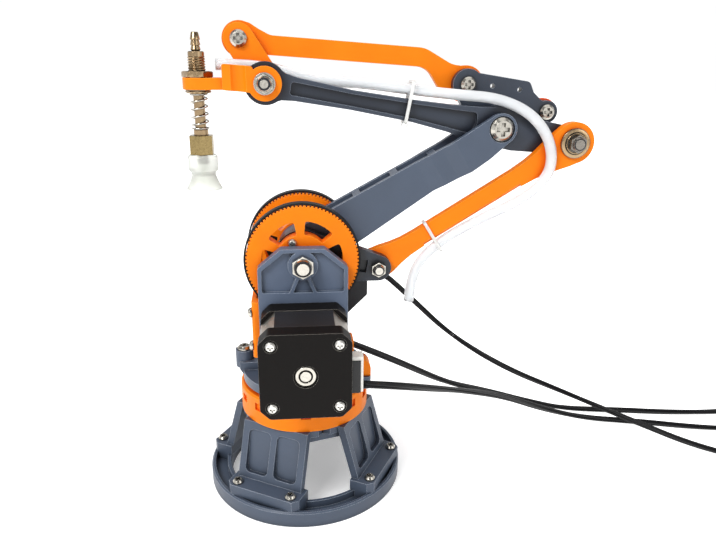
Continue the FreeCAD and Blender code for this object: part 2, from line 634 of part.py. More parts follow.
# Motor shafts and small pulleys
for name, centre, face, sign in (("near", NEAR_M, face_near, 1), ("far", FAR_M, -face_near, -1)):
    back = face + sign * (MOTOR_LEN - 0.4)
    tip = face - sign * 21.0
    shaft = rod(centre, SHAFT_R, min(back, tip), max(back, tip))
    save(name + "_motor_shaft", shaft)
    y0, y1 = BELT_Y[0] if sign > 0 else BELT_Y[1]
    barrel = rod(centre, SMALL_R, y0 - 0.4, y1 + 0.4)
    flange_r = SMALL_R + 2.4
    sides = [rod(centre, flange_r, y0 - 1.4, y0 - 0.4), rod(centre, flange_r, y1 + 0.4, y1 + 1.4)]
    pulley = barrel.fuse(sides).removeSplitter().cut(rod(centre, SHAFT_R + 0.01, -60, 60))
    save(name + "_motor_pulley", pulley)


# Big pulleys: toothed rim, six arc windows
def toothed(y0, y1):
    pts = []
    for i in range(TEETH):
        a = 2 * math.pi * i / TEETH
        step = 2 * math.pi / TEETH
        for frac, r in ((0.0, BIG_R), (0.48, BIG_R), (0.60, BIG_R - TOOTH_DEEP), (0.88, BIG_R - TOOTH_DEEP)):
            b = a + frac * step
            pts.append(V(S[0] + r * math.cos(b), y0, S[1] + r * math.sin(b)))
    return Part.Face(Part.makePolygon(pts + [pts[0]])).extrude(V(0, y1 - y0, 0))


def arc_window(mid_deg, wide_deg, r0, r1, y0, y1):
    pts = []
    steps = 6
    for k in range(steps + 1):
        a = math.radians(mid_deg - wide_deg / 2 + wide_deg * k / steps)
        pts.append((S[0] + r1 * math.cos(a), S[1] + r1 * math.sin(a)))
    for k in range(steps, -1, -1):
        a = math.radians(mid_deg - wide_deg / 2 + wide_deg * k / steps)
        pts.append((S[0] + r0 * math.cos(a), S[1] + r0 * math.sin(a)))
    rad = [0.0] * len(pts)
    for k in (0, steps, steps + 1, 2 * steps + 1):
        rad[k] = 1.4
    return prism(pts, y0, y1, rad)


WINDOWS = 6
WIN_IN = 13.5
WIN_OUT = 20.5
WIN_WIDE = 44.0
WIN_START = -3.4
HUB_SCREW = 10.6
HUB_PIN = 1.25
BEARING_R = 9.5
near_pulley = toothed(CRANK_Y1, CRANK_Y1 + PULLEY_T)
far_pulley = toothed(-ARM_HALF - PULLEY_T, -ARM_HALF)
for i in range(WINDOWS):
    cutter = arc_window(WIN_START + 360.0 / WINDOWS * i, WIN_WIDE, WIN_IN, WIN_OUT, -50, 50)
    near_pulley = near_pulley.cut(cutter)
    far_pulley = far_pulley.cut(cutter)
hub_spots = []
for a in (62.0, 182.0, 302.0):
    hub_spots.append((S[0] + HUB_SCREW * math.cos(math.radians(a)), S[1] + HUB_SCREW * math.sin(math.radians(a))))
near_pulley = near_pulley.cut(rod(S, 6.5, 0, 60))
far_pulley = far_pulley.cut(rod(S, S_BOLT + RUN, -60, 60))
crank_end = 6.9
crank = hull(S, 14.0, C, crank_end, CRANK_Y0, CRANK_Y1)
crank = crank.cut(rod(S, 6.5, 0, 60)).cut(rod(C, 2.02, 0, 60))
kx = -math.cos(tilt)
kz = -math.sin(tilt)
notch_a, notch_b, notch_h = 30.2, 34.0, 3.4
notch_pts = []
for s, n in ((notch_a, -notch_h), (notch_b, -notch_h), (notch_b, notch_h), (notch_a, notch_h)):
    notch_pts.append((S[0] + s * kx - n * kz, S[1] + s * kz + n * kx))
crank = crank.cut(prism(notch_pts, CRANK_Y1 - 2.5, CRANK_Y1 + 1))
for p in hub_spots:
    near_pulley = near_pulley.cut(rod(p, HUB_PIN + RUN, 0, 60))
    crank = crank.cut(rod(p, HUB_PIN + RUN, 0, 60))
save("near_pulley", near_pulley)
save("far_pulley", far_pulley)
save("crank", crank)
hub_screw = pan_screw(2.3, 1.6, HUB_PIN, PULLEY_T + 4.0)
save("crank_screws", [aim(hub_screw, (p[0], CRANK_Y1 + PULLEY_T, p[1]), (0, 1, 0)) for p in hub_spots])
bearing = ring_y(S, S_BOLT + RUN, 6.49, CRANK_Y0, CRANK_Y1 + PULLEY_T)
save("crank_bearing", bearing)
DRIVE_Y0 = FORE_HALF + GAP
DRIVE_Y1 = DRIVE_Y0 + DRIVE_T
c_head = rod(C, 3.6, DRIVE_Y0 - GAP - 2.4, DRIVE_Y0 - GAP)
c_pin = rod(C, 2.0, DRIVE_Y0 - GAP, CRANK_Y1 + 5.4)
c_nut = aim(lock_nut(7.0, 5.0, 1.6, 2.0), (C[0], CRANK_Y1, C[1]), (0, 1, 0))
save("crank_bolt", c_head.fuse([c_pin, c_nut]).removeSplitter())

# Lower arm: two side plates with two jogs, rungs, shoulder hub, elbow bosses
ARM_END = 7.8
ARM_TOP = ((0, 12.4), (SHANK * 0.2, 11.4), (SHANK * 0.55, 9.0), (SHANK - 26, 7.4), (SHANK, ARM_END))
ARM_BOTTOM = ((SHANK, -ARM_END), (SHANK - 12, -9.9), (SHANK - 23, -10.6), (SHANK - 44, -9.0),
              (SHANK * 0.28, -11.0), (0, -12.4))
HUB_OUT = 12.4
side_pts = [arm(s, n) for s, n in ARM_TOP] + [arm(s, n) for s, n in ARM_BOTTOM]
outline = prism(side_pts, -20, 20)
outline = outline.fuse([rod(S, HUB_OUT, -20, 20), rod(E, ARM_END, -20, 20)]).removeSplitter()
JOG = (SHANK - 45.5, SHANK - 38.0, SHANK - 31.0, SHANK - 23.5)


def arm_plan(pts, high):
    face_pts = []
    for s, y in pts:
        x, z = arm(s, -high)
        face_pts.append(V(x, y, z))
    face = Part.Face(Part.makePolygon(face_pts + [face_pts[0]]))
    return face.extrude(V(math.sin(lean), 0, -math.cos(lean)) * (2 * high))


jog_out = (ARM_HALF + FORK_OUT) / 2
jog_in = (ARM_HALF - ARM_PLATE + FORK_OUT - FORK_PLATE) / 2
far_end = SHANK + 20
plan = [(-20, ARM_HALF), (JOG[0], ARM_HALF), (JOG[1], jog_out), (JOG[2], jog_out), (JOG[3], FORK_OUT),
        (far_end, FORK_OUT), (far_end, FORK_OUT - FORK_PLATE), (JOG[3], FORK_OUT - FORK_PLATE), (JOG[2], jog_in),
        (JOG[1], jog_in), (JOG[0], ARM_HALF - ARM_PLATE), (-20, ARM_HALF - ARM_PLATE)]
near_plate = outline.common(arm_plan(plan, 30.0))
far_plate = outline.common(arm_plan([(s, -y) for s, y in plan], 30.0))
lower = near_plate.fuse([far_plate, rod(S, HUB_OUT, -ARM_HALF, ARM_HALF)])
RUNGS = ((SHANK * 0.336, 10.2, -9.8), (SHANK * 0.522, 9.1, -9.2), (SHANK * 0.708, 6.6, -8.6))
RUNG_T = 4.0
for s, top, low in RUNGS:
    reach = ARM_HALF - 1.0
    rung = arm_plan([(s - RUNG_T / 2, -reach), (s + RUNG_T / 2, -reach), (s + RUNG_T / 2, reach), (s - RUNG_T / 2, reach)],
                    30.0)
    keep = [arm(s - 4, low), arm(s + 4, low), arm(s + 4, top), arm(s - 4, top)]
    lower = lower.fuse(rung.common(prism(keep, -20, 20)))
ELBOW_BOLT = 2.5
SPACER_R = 5.2
for side in (-1, 1):
    ya = side * (FORE_HALF + GAP)
    yb = side * (FORK_OUT - FORK_PLATE)
    lower = lower.fuse(rod(E, SPACER_R, min(ya, yb), max(ya, yb)))
lower = lower.removeSplitter()
lower = lower.cut(rod(S, BEARING_R, 1.5, 60)).cut(rod(S, BEARING_R, -60, -1.5)).cut(rod(S, S_BOLT + 1.0, -60, 60))
HEAD_R = 6.0
RECESS = 1.5
lower = lower.cut(rod(E, ELBOW_BOLT + 0.02, -60, 60)).cut(rod(E, HEAD_R + 0.6, FORK_OUT - RECESS, 60))
save("lower_arm", lower)
save("shoulder_bearings", [ring_y(S, S_BOLT + RUN, BEARING_R - 0.01, 1.5, ARM_HALF),
                           ring_y(S, S_BOLT + RUN, BEARING_R - 0.01, -ARM_HALF, -1.5)])

# Triangle layer
TRI_Y1 = -(FORK_OUT + GAP)
TRI_Y0 = TRI_Y1 - TRI_T
NUT_POCKET = 3.4
elbow_head = pan_screw(HEAD_R, 3.2, ELBOW_BOLT, FORK_OUT - RECESS - TRI_Y0 - 0.4)
elbow_screw = aim(elbow_head, (E[0], FORK_OUT - RECESS, E[1]), (0, 1, 0))
elbow_nut = aim(hex_prism(8.0, 0, 2.7).cut(post(0, 0, ELBOW_BOLT, -1, 4)), (E[0], TRI_Y0 + NUT_POCKET - GAP, E[1]), (0, -1, 0))
save("elbow_bolt", elbow_screw.fuse(elbow_nut).removeSplitter())
tri_rel = [(21.0, 20.0), (18.5, 26.5), (13.5, 27.8), (-20.5, 22.6), (-23.0, 17.2), (-27.5, 13.2), (-35.0, 10.0),
           (-34.0, 3.0), (-9.0, -8.0), (9.0, -3.0)]
triangle = prism([(E[0] + x, E[1] + z) for x, z in tri_rel], TRI_Y0, TRI_Y1, [5, 4, 4, 3, 2, 4, 5, 5, 9, 9])
triangle = triangle.fuse([rod(T1, 8.0, TRI_Y0, TRI_Y1), rod(T2, 6.0, TRI_Y0, TRI_Y1), rod(E, 10.5, TRI_Y0, TRI_Y1)])
triangle = triangle.removeSplitter()
PIVOT = 2.0
triangle = triangle.cut(rod(E, ELBOW_BOLT + RUN, -60, 60)).cut(rod(E, 5.7, TRI_Y0 - 1, TRI_Y0 + NUT_POCKET))
triangle = triangle.cut(rod(T1, PIVOT + 0.02, -60, 60)).cut(rod(T2, PIVOT + 0.02, -60, 60))
for dx, dz in ((-0.2, 20.3), (-15.1, 18.5)):
    triangle = triangle.cut(rod((E[0] + dx, E[1] + dz), 1.2, -60, 60))
save("triangle_plate", triangle)
LINK_Y1 = TRI_Y0 - GAP
LINK_Y0 = LINK_Y1 - LINK_T
tri_screw = pan_screw(4.0, 2.6, PIVOT, TRI_T + GAP + LINK_T + 4.6)
link_nut = lock_nut(7.0, 4.0, 1.2, PIVOT)
tri_fasteners = []
for p in (T1, T2):
    screw = aim(tri_screw, (p[0], TRI_Y1, p[1]), (0, 1, 0))
    nut = aim(link_nut, (p[0], LINK_Y0 - GAP, p[1]), (0, -1, 0))
    tri_fasteners.append(screw.fuse(nut).removeSplitter())
save("triangle_screws", tri_fasteners)

# Upper link: bar with an S-bend near the triangle; level link: straight bar; both with eyes
UPPER_EDGE = ((SHANK, 8.8), (SHANK - 4.0, 8.4), (SHANK - 9.0, 6.4), (SHANK - 15.0, 4.6), (25.5, 13.8), (9.5, 8.4),
              (0.0, 9.0), (0.0, -9.0), (11.5, -7.2), (22.5, 4.5), (SHANK, -6.8))
UPPER_ROUND = [0, 0, 0, 8, 14, 14, 0, 0, 2, 10, 0]


def upper_at(d, n):
    return (T1[0] + d * math.cos(tilt) - n * math.sin(tilt), T1[1] + d * math.sin(tilt) + n * math.cos(tilt))


upper = prism([upper_at(d, n) for d, n in UPPER_EDGE], LINK_Y0, LINK_Y1, UPPER_ROUND)
upper = upper.fuse([rod(H, 8.8, LINK_Y0, LINK_Y1), rod(T1, 9.6, LINK_Y0, LINK_Y1)]).removeSplitter()
upper = upper.cut(rod(H, PIVOT + RUN, -60, 60)).cut(rod(T1, PIVOT + RUN, -60, 60))
save("upper_link", upper)
level = strip([F, T2], 4.6, LINK_Y0, LINK_Y1)
BELLY = ((0.0, 0.0), (4.0, 6.4), (12.0, 9.0), (24.0, 9.0), (38.0, 4.6), (38.0, 0.0))
belly_pts = []
for s, n in BELLY:
    belly_pts.append((T2[0] - s * math.cos(lean) + n * math.sin(lean), T2[1] - s * math.sin(lean) - n * math.cos(lean)))
level = level.fuse(prism(belly_pts, LINK_Y0, LINK_Y1, [0, 0, 6, 6, 6, 0]))
level = level.fuse([rod(F, 7.0, LINK_Y0, LINK_Y1), rod(T2, 7.0, LINK_Y0, LINK_Y1)]).removeSplitter()
level = level.cut(rod(F, PIVOT + RUN, -60, 60)).cut(rod(T2, PIVOT + RUN, -60, 60))
level = level.cut(rod(F, 3.5 + GAP, LINK_NEAR - SUNK - RUN, 0))
save("level_link", level)

# Drive link with flared eyes and a bevel along its lower near edge
LINK_SPAN = SHANK
C_EYE = 8.8
R_EYE = 10.6
BAR = 4.9
flare = ((0, C_EYE), (6, 7.9), (12, 6.3), (18, 5.3), (26, BAR), (LINK_SPAN - 34, BAR), (LINK_SPAN - 26, 5.4),
         (LINK_SPAN - 19, 6.5), (LINK_SPAN - 13, 8.0), (LINK_SPAN - 7, 9.5), (LINK_SPAN, R_EYE))


def drive(s, n):
    return (C[0] + s * math.cos(lean) + n * math.sin(lean), C[1] + s * math.sin(lean) - n * math.cos(lean))


edge = [drive(s, h) for s, h in flare] + [drive(s, -h) for s, h in reversed(flare)]
drive_link = prism(edge, DRIVE_Y0, DRIVE_Y1)
drive_link = drive_link.fuse([rod(C, C_EYE, DRIVE_Y0, DRIVE_Y1), rod(R, R_EYE, DRIVE_Y0, DRIVE_Y1)]).removeSplitter()
bevel = 2.2
lx0, lz0 = drive(27, -BAR)
lx1, lz1 = drive(LINK_SPAN - 34, -BAR)
up = V(math.sin(lean), 0, -math.cos(lean))
a0 = V(lx0, DRIVE_Y1, lz0)
tri_pts = [a0 - up * 0.5 + V(0, 0.5, 0), a0 + up * bevel + V(0, 0.5, 0), a0 - up * 0.5 + V(0, -bevel, 0)]
wedge = Part.Face(Part.makePolygon(tri_pts + [tri_pts[0]])).extrude(V(lx1 - lx0, 0, lz1 - lz0))
drive_link = drive_link.cut(wedge)
R_PIN = 2.5
drive_link = drive_link.cut(rod(C, 2.0 + RUN, -60, 60)).cut(rod(R, R_PIN + RUN, -60, 60))
save("drive_link", drive_link)

# Forearm: I-section bar with eyes at the wrist, the elbow and the rear pivot
W_EYE = 10.3
REAR = SHANK + CRANK_LEN
fore_top = ((4, 9.0), (9, 6.5), (15, 5.6), (SHANK * 0.36, 4.7), (SHANK * 0.625, 5.8), (SHANK - 26, 7.0),
            (SHANK - 12, 8.6), (SHANK, 10.6), (REAR - 17, 7.9), (REAR, 7.6))
fore_low = ((REAR, -7.6), (REAR - 17, -8.5), (SHANK + 9, -10.0), (SHANK - 12, -8.8), (SHANK - 26, -6.6),
            (SHANK * 0.625, -5.1), (SHANK * 0.36, -4.8), (15, -5.7), (9, -6.5), (4, -9.0))
fore_pts = [fore(s, n) for s, n in fore_top] + [fore(s, n) for s, n in fore_low]
forearm = prism(fore_pts, -FORE_HALF, FORE_HALF)
forearm = forearm.fuse([rod(W, W_EYE, -FORE_HALF, FORE_HALF), rod(E, 10.8, -FORE_HALF, FORE_HALF),
                        rod(R, 8.0, -FORE_HALF, FORE_HALF)]).removeSplitter()
WEB = 1.5
trough_edge = ((12.5, 3.2), (SHANK * 0.36, 2.9), (SHANK * 0.625, 3.9), (SHANK - 26, 4.8), (SHANK - 12.5, 5.6),
               (SHANK - 11.5, 0.0), (SHANK - 13.5, -5.4), (SHANK - 26, -4.4), (SHANK * 0.625, -3.2),
               (SHANK * 0.36, -2.9), (12.5, -3.2))
trough = [fore(s, n) for s, n in trough_edge]
for side in (-1, 1):
    ya, yb = (WEB, FORE_HALF + 1) if side > 0 else (-FORE_HALF - 1, -WEB)
    forearm = forearm.cut(prism(trough, ya, yb, [1.5, 0, 0, 0, 2.0, 2.0, 2.0, 0, 0, 0, 1.5]))
E_BEAR = 6.5
forearm = forearm.cut(rod(E, E_BEAR, -60, 60)).cut(rod(R, R_PIN + RUN, -60, 60)).cut(rod(W, PIVOT + RUN, -60, 60))
save("forearm", forearm)
save("elbow_bearings", [ring_y(E, ELBOW_BOLT + RUN, E_BEAR - 0.01, 0.2, FORE_HALF),
                        ring_y(E, ELBOW_BOLT + RUN, E_BEAR - 0.01, -FORE_HALF, -0.2)])

# Rear pivot bolt with its washer and nut
r_head = rod(R, 4.4, -FORE_HALF - GAP - 3.0, -FORE_HALF - GAP)
r_pin = rod(R, R_PIN, -FORE_HALF - GAP, DRIVE_Y1 + 7.2)
r_wash = rod(R, 7.6, DRIVE_Y1 + GAP, DRIVE_Y1 + GAP + 1.3)
r_ring = rod(R, 5.4, DRIVE_Y1 + GAP + 1.3, DRIVE_Y1 + GAP + 2.1)
r_nut = aim(lock_nut(8.0, 4.6, 1.4, R_PIN), (R[0], DRIVE_Y1 + GAP + 2.1, R[1]), (0, 1, 0))
save("rear_bolt", r_head.fuse([r_pin, r_wash, r_ring, r_nut]).removeSplitter())

# Tool bracket: near cheek, far ear up to the upper link, joining block, tongue
NEAR_CHEEK = 10.0
STEM_X = W[0] + STEM_FROM_WRIST
BLOCK_X = (W[0] + 12.3, W[0] + 19.9)
BLOCK_Z = (W[1] - 3.05, W[1] + 5.35)
CHEEK_TOP = W[1] + 8.95
TONGUE_Z = (W[1] - 3.05, W[1] + 2.45)
TONGUE_HALF = 7.2
cheek = prism([(W[0], W[1] - 4.8), (BLOCK_X[1], BLOCK_Z[0]), (BLOCK_X[1], CHEEK_TOP), (W[0] + 6, W[1] + 8.0)],
              DRIVE_Y0, NEAR_CHEEK, [0, 1.0, 1.0, 2.0])
cheek = cheek.fuse(rod(W, 8.2, DRIVE_Y0, NEAR_CHEEK))
SCOOP_R = 4.2
cheek = cheek.cut(post(BLOCK_X[0], NEAR_CHEEK + SCOOP_R - 2.0, SCOOP_R, W[1] - 20, W[1] + 20))
ear = hull(W, 8.0, H, 7.6, TRI_Y1 - TRI_T + 1.0, TRI_Y1)
ear_y0 = TRI_Y1 - TRI_T + 1.0
ear = ear.fuse(prism([(W[0], W[1] - 4.8), (BLOCK_X[1], BLOCK_Z[0]), (BLOCK_X[1], BLOCK_Z[1]), (W[0] + 4, W[1] + 6)],
                     ear_y0, TRI_Y1))
wrist_boss = rod(W, 4.8, TRI_Y1, -FORE_HALF - GAP)
block = box(BLOCK_X[0], BLOCK_X[1], ear_y0, DRIVE_Y0 + 1.0, BLOCK_Z[0], BLOCK_Z[1])
tongue = slab([(BLOCK_X[0], -TONGUE_HALF), (STEM_X, -TONGUE_HALF), (STEM_X, TONGUE_HALF), (BLOCK_X[0], TONGUE_HALF)],
              TONGUE_Z[0], TONGUE_Z[1])
tongue = tongue.fuse(post(STEM_X, 0, TONGUE_HALF, TONGUE_Z[0], TONGUE_Z[1]))
bracket = cheek.fuse([ear, wrist_boss, block, tongue]).removeSplitter()
STEM_R = 3.5
bracket = bracket.cut(post(STEM_X, 0, STEM_R + 0.02, W[1] - 20, W[1] + 20))
bracket = bracket.cut(rod(W, PIVOT + 0.02, -60, 60)).cut(rod(H, PIVOT + 0.02, -60, 60))
save("tool_bracket", bracket)
w_head = rod(W, 3.6, ear_y0 - 2.2, ear_y0)
W_WASHER = 1.0
w_pin = rod(W, PIVOT, ear_y0, NEAR_CHEEK + W_WASHER + 5.0)
w_wash = rod(W, 5.2, NEAR_CHEEK, NEAR_CHEEK + W_WASHER)
w_nut = aim(lock_nut(8.0, 4.8, 1.6, PIVOT), (W[0], NEAR_CHEEK + W_WASHER, W[1]), (0, 1, 0))
h_screw = aim(pan_screw(4.2, 2.6, PIVOT, TRI_T - 1.0 + 1.3 + LINK_T + 4.0), (H[0], TRI_Y1, H[1]), (0, 1, 0))
h_nut = aim(link_nut, (H[0], LINK_Y0 - GAP, H[1]), (0, -1, 0))
save("wrist_bolts", [w_head.fuse([w_pin, w_wash, w_nut]).removeSplitter(), h_screw.fuse(h_nut).removeSplitter()])

# Threaded stem with its barb, thin nuts, sliding rod, spring, hex adapter, suction cup
ROD_R = 2.3
STEM_BORE = ROD_R + RUN
STEM_LOW = TONGUE_Z[0] - 4.0
STEM_FOOT = 2.1
stem_edge = ((STEM_BORE, STEM_FOOT), (STEM_R, STEM_FOOT), (STEM_R, 19.2), (3.0, 19.2), (3.0, 21.6), (1.9, 21.6), (2.35, 22.4),
             (1.9, 24.2), (2.35, 24.4), (1.9, 26.6), (2.35, 26.8), (1.8, 29.9), (1.5, 30.3), (1.1, 30.3), (1.1, 20.5),
             (STEM_BORE, 20.5))
save("stem", turn_z([(r, STEM_LOW + z) for r, z in stem_edge], STEM_X, 0))
thin_nut = hex_prism(11.0, 0, 2.8).cut(post(0, 0, STEM_R + 0.01, -1, 5))
washer = post(0, 0, 5.6, 0, 0.6).cut(post(0, 0, STEM_R + 0.01, -1, 5))
low_nut = hex_prism(9.5, 0, 1.2).cut(post(0, 0, STEM_R + 0.01, -1, 5))
save("stem_nuts", [aim(thin_nut, (STEM_X, 0, TONGUE_Z[1]), (0, 0, 1)),
                   aim(washer, (STEM_X, 0, TONGUE_Z[0] - 0.6), (0, 0, 1)),
                   aim(low_nut, (STEM_X, 0, TONGUE_Z[0] - 1.8), (0, 0, 1))])
COLLAR_Z = STEM_LOW - 15.0
ADAPTER = (STEM_LOW - 27.4, STEM_LOW - 18.0)
ROD_END = STEM_LOW - 23.0
plunger = post(STEM_X, 0, ROD_R, ROD_END, STEM_LOW + 9.0)
plunger = plunger.fuse(post(STEM_X, 0, 3.4, ADAPTER[1], COLLAR_Z)).removeSplitter()
save("plunger_rod", plunger)
adapter = hex_prism(11.0, ADAPTER[0], ADAPTER[1])
adapter.translate(V(STEM_X, 0, 0))
adapter = adapter.cut(post(STEM_X, 0, ROD_R + 0.01, ROD_END - 0.01, COLLAR_Z))
adapter = adapter.fuse(post(STEM_X, 0, 2.6, ADAPTER[0] - 4.6, ADAPTER[0]))
save("hex_adapter", adapter.removeSplitter())
cup_top = ADAPTER[0] - 0.2
cup_edge = ((2.65, 6.9), (2.65, 0.0), (6.6, 0.0), (7.4, 1.0), (7.4, 7.6), (6.2, 8.8), (6.0, 10.2), (7.0, 13.2),
            (9.0, 17.2), (8.0, 17.2), (6.0, 13.2), (4.9, 10.4), (4.3, 9.4), (1.2, 9.4), (1.2, 6.9))
save("suction_cup", turn_z([(r, cup_top - z) for r, z in cup_edge], STEM_X, 0))
print("cup lip", cup_top - cup_edge[8][1], "stem top", STEM_LOW + stem_edge[12][1])
WIRE = 0.55
COILS = 5.0
SPRING_R = 3.75
z_low = COLLAR_Z + WIRE + 0.05
z_high = STEM_LOW + STEM_FOOT - WIRE - 0.05
pitch = (z_high - z_low) / COILS
helix = Part.makeHelix(pitch, z_high - z_low, SPRING_R)
section = Part.Wire(Part.Circle(V(SPRING_R, 0, 0), V(0, 1, 0), WIRE).toShape())
spring = Part.Wire(helix).makePipeShell([section], True, True)
spring.translate(V(STEM_X, 0, z_low))
save("spring", spring)


# Soft lines: straight runs joined by tangent arcs; a route can be split in the middle of some runs
def tubes(name, route, r, least, splits=()):
    pts = [V(*p) for p in route]
    last = len(pts) - 1
    pieces = []
    edges = []
    radii = []
    length = 0.0
    start = pts[0]
    for i in range(1, last + 1):
        if i - 1 in splits:
            middle = (pts[i - 1] + pts[i]) * 0.5
            edges.append(Part.makeLine(start, middle))
            pieces.append(edges)
            edges = []
            length += (middle - start).Length
            start = middle
        if i == last:
            break
        u = pts[i - 1] - pts[i]
        w = pts[i + 1] - pts[i]
        cut = 0.45 * min(u.Length, w.Length)
        u.normalize()
        w.normalize()
        turn_half = math.pi / 2 - u.getAngle(w) / 2
        bend = cut / math.tan(turn_half)
        radii.append(bend)
        p1 = pts[i] + u * cut
        p2 = pts[i] + w * cut
        pm = pts[i] + (u + w).normalize() * (bend / math.cos(turn_half) - bend)
        edges.append(Part.makeLine(start, p1))
        edges.append(Part.Arc(p1, pm, p2).toShape())
        length += (p1 - start).Length + bend * 2 * turn_half
        start = p2
    edges.append(Part.makeLine(start, pts[last]))
    length += (pts[last] - start).Length
    pieces.append(edges)
    solids = []
    for part_edges in pieces:
        first = part_edges[0]
        way = (first.Vertexes[-1].Point - first.Vertexes[0].Point).normalize()
        section = Part.Wire(Part.Circle(first.Vertexes[0].Point, way, r).toShape())
        solids.append(Part.Wire(part_edges).makePipeShell([section], True, False))
    want = math.pi * r * r * length
    got = sum(s.Volume for s in solids)
    low = min(s.optimalBoundingBox().ZMin for s in solids)
    print("tube", name, "length", round(length, 1), "least radius", round(min(radii), 1), "wanted at least",
          round(least, 1), "volume ratio", round(got / want, 4), "lowest", round(low, 2))
    return solids


HOSE_LIMP = 3.0 * 2 * HOSE_R
LEAD_LEAST = 5.0 * 2 * LEAD_R
HOSE = [(40.6, -5.2, 228.6), (18.0, -7.65, 228.9), (-6.0, -7.4, 221.4), (-31.0, -6.7, 220.3), (-57.0, -1.2, 217.2),
        (-80.0, 0.6, 214.9), (-101.0, 3.6, 213.6), (-117.5, 10.0, 206.0), (-127.5, 12.8, 192.0), (-128.6, 13.0, 176.0),
        (-116.5, 9.6, 162.5), (-91.5, 7.0, 150.3), (-71.2, 6.8, 138.2), (-58.5, 7.2, 124.0), (-57.5, 7.6, 106.5)]
hose_pieces = tubes("hose", HOSE, HOSE_R, HOSE_LIMP, (4, 8))
for name, piece in zip(("hose_wrist", "hose_elbow", "hose_tail"), hose_pieces):
    save(name, piece)

near_tip = NEAR_M[0] - MOTOR / 2 - SOCKET_OUT - PLUG_OUT
far_tip = FAR_M[0] - MOTOR / 2 - SOCKET_OUT - PLUG_OUT
LEAD_FAR = [(far_tip - 0.8, -60.5, 104.0), (-47.5, -60.4, 104.8), (-70.0, -59.6, 84.0), (-99.0, -58.0, 55.5),
            (-138.0, -54.8, 30.5), (-180.0, -46.5, 14.0), (-214.0, -21.0, 6.6), (-250.0, 12.0, 1.95),
            (-298.0, 34.0, 1.95), (-342.0, 28.0, 1.95), (-382.0, 8.0, 1.95)]
LEAD_YAW = [LEAD_OUT[0], LEAD_OUT[1], (-58.0, 4.2, 65.6), (-86.0, -10.0, 45.5), (-115.0, -22.0, 32.0),
            (-146.0, -33.0, 17.0), (-178.0, -42.0, 4.2), (-214.0, -41.0, 1.95), (-254.0, -34.0, 1.95),
            (-296.0, -32.0, 1.95), (-338.0, -38.0, 1.95), (-376.0, -50.0, 1.95)]
LEAD_NEAR = [(near_tip - 0.6, 60.5, 85.0), (-42.0, 57.5, 82.0), (-64.0, 40.0, 70.0), (-92.0, 14.5, 53.0),
             (-122.0, -6.0, 36.5), (-152.0, -20.0, 18.5), (-186.0, -28.5, 4.6), (-222.0, -25.5, 1.95),
             (-262.0, -14.0, 1.95), (-306.0, -8.5, 1.95), (-350.0, -16.0, 1.95)]
for name, route in (("lead_far", LEAD_FAR), ("lead_yaw", LEAD_YAW), ("lead_near", LEAD_NEAR)):
    save(name, tubes(name, route, LEAD_R, LEAD_LEAST))
PLUG_LONG = 14.0
PLUG_HALF = 5.2
PLUG_FLAT = 2.4
for route in (LEAD_FAR, LEAD_YAW, LEAD_NEAR):
    a, b = V(*route[-2]), V(*route[-1])
    way = (b - a).normalize()
    end = box(0, PLUG_LONG, -PLUG_HALF, PLUG_HALF, 0.05, 0.05 + 2 * PLUG_FLAT)
    turn = math.degrees(math.atan2(way.y, way.x))
    end.rotate(V(0, 0, 0), V(0, 0, 1), turn)
    end.translate(V(b.x, b.y, 0))
    plugs.append(end)
save("lead_plugs", plugs)

# Ties round the forearm with the hose, and round the drive link with the hose
TIE_T = 1.0
TIE_W = 2.4


def tie(centre, along, out, half_out, low, high, y_low, y_high):
    def ring(grow):
        pts = []
        for y, n in ((y_low - grow, low - grow), (y_high + grow, low - grow), (y_high + grow, high + grow),
                     (y_low - grow, high + grow)):
            pts.append(V(centre[0] + out[0] * n, y, centre[1] + out[1] * n))
        return pts
    step = V(along[0], 0, along[1]) * half_out
    outer = Part.Face(rounded_wire([p - step for p in ring(TIE_T)], 1.6)).extrude(step * 2)
    inner = Part.Face(rounded_wire([p - step * 2 for p in ring(0.0)], 0.3)).extrude(step * 4)
    return outer.cut(inner)


fore_way = (math.cos(tilt), math.sin(tilt))
fore_out = (-math.sin(tilt), math.cos(tilt))
TIE_S = 72.0
forearm_tie = tie(fore(TIE_S, 0), fore_way, fore_out, TIE_W / 2, -5.4, 13.9, -FORE_HALF - 0.55, FORE_HALF + 0.1)
head_pts = [fore(TIE_S - 2.0, -6.3), fore(TIE_S + 2.0, -6.3), fore(TIE_S + 2.0, -8.3), fore(TIE_S - 2.0, -8.3)]
forearm_tie = forearm_tie.fuse(prism(head_pts, 0.0, FORE_HALF + 1.1)).removeSplitter()
save("forearm_tie", forearm_tie)
link_way = (math.cos(lean), math.sin(lean))
link_out = (math.sin(lean), -math.cos(lean))
link_tie = tie(drive(33.0, 0), link_way, link_out, TIE_W / 2, -11.6, BAR + 0.3, DRIVE_Y0 - 0.5, DRIVE_Y1 + 0.45)
save("link_tie", link_tie)
print("spring top", z_high, "far tip", far_tip, "near tip", near_tip, "stem x", STEM_X)
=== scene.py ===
# %% [markdown]
# # Desktop parallel-link robot arm
# The real arm is printed in plastic, driven by three stepper motors, and picks things up with a suction
# cup. All of it could be modelled again in Blender, but its solids are already exact. So this lesson loads
# them as they are, and adds the materials, the soft lines and the fine detail that the solids leave out.
# Everything is in metres. +X is the way the arm reaches, +Y is the side of the front motor, +Z is up.

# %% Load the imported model
import math

import bmesh
import bpy
from mathutils import Matrix, Vector


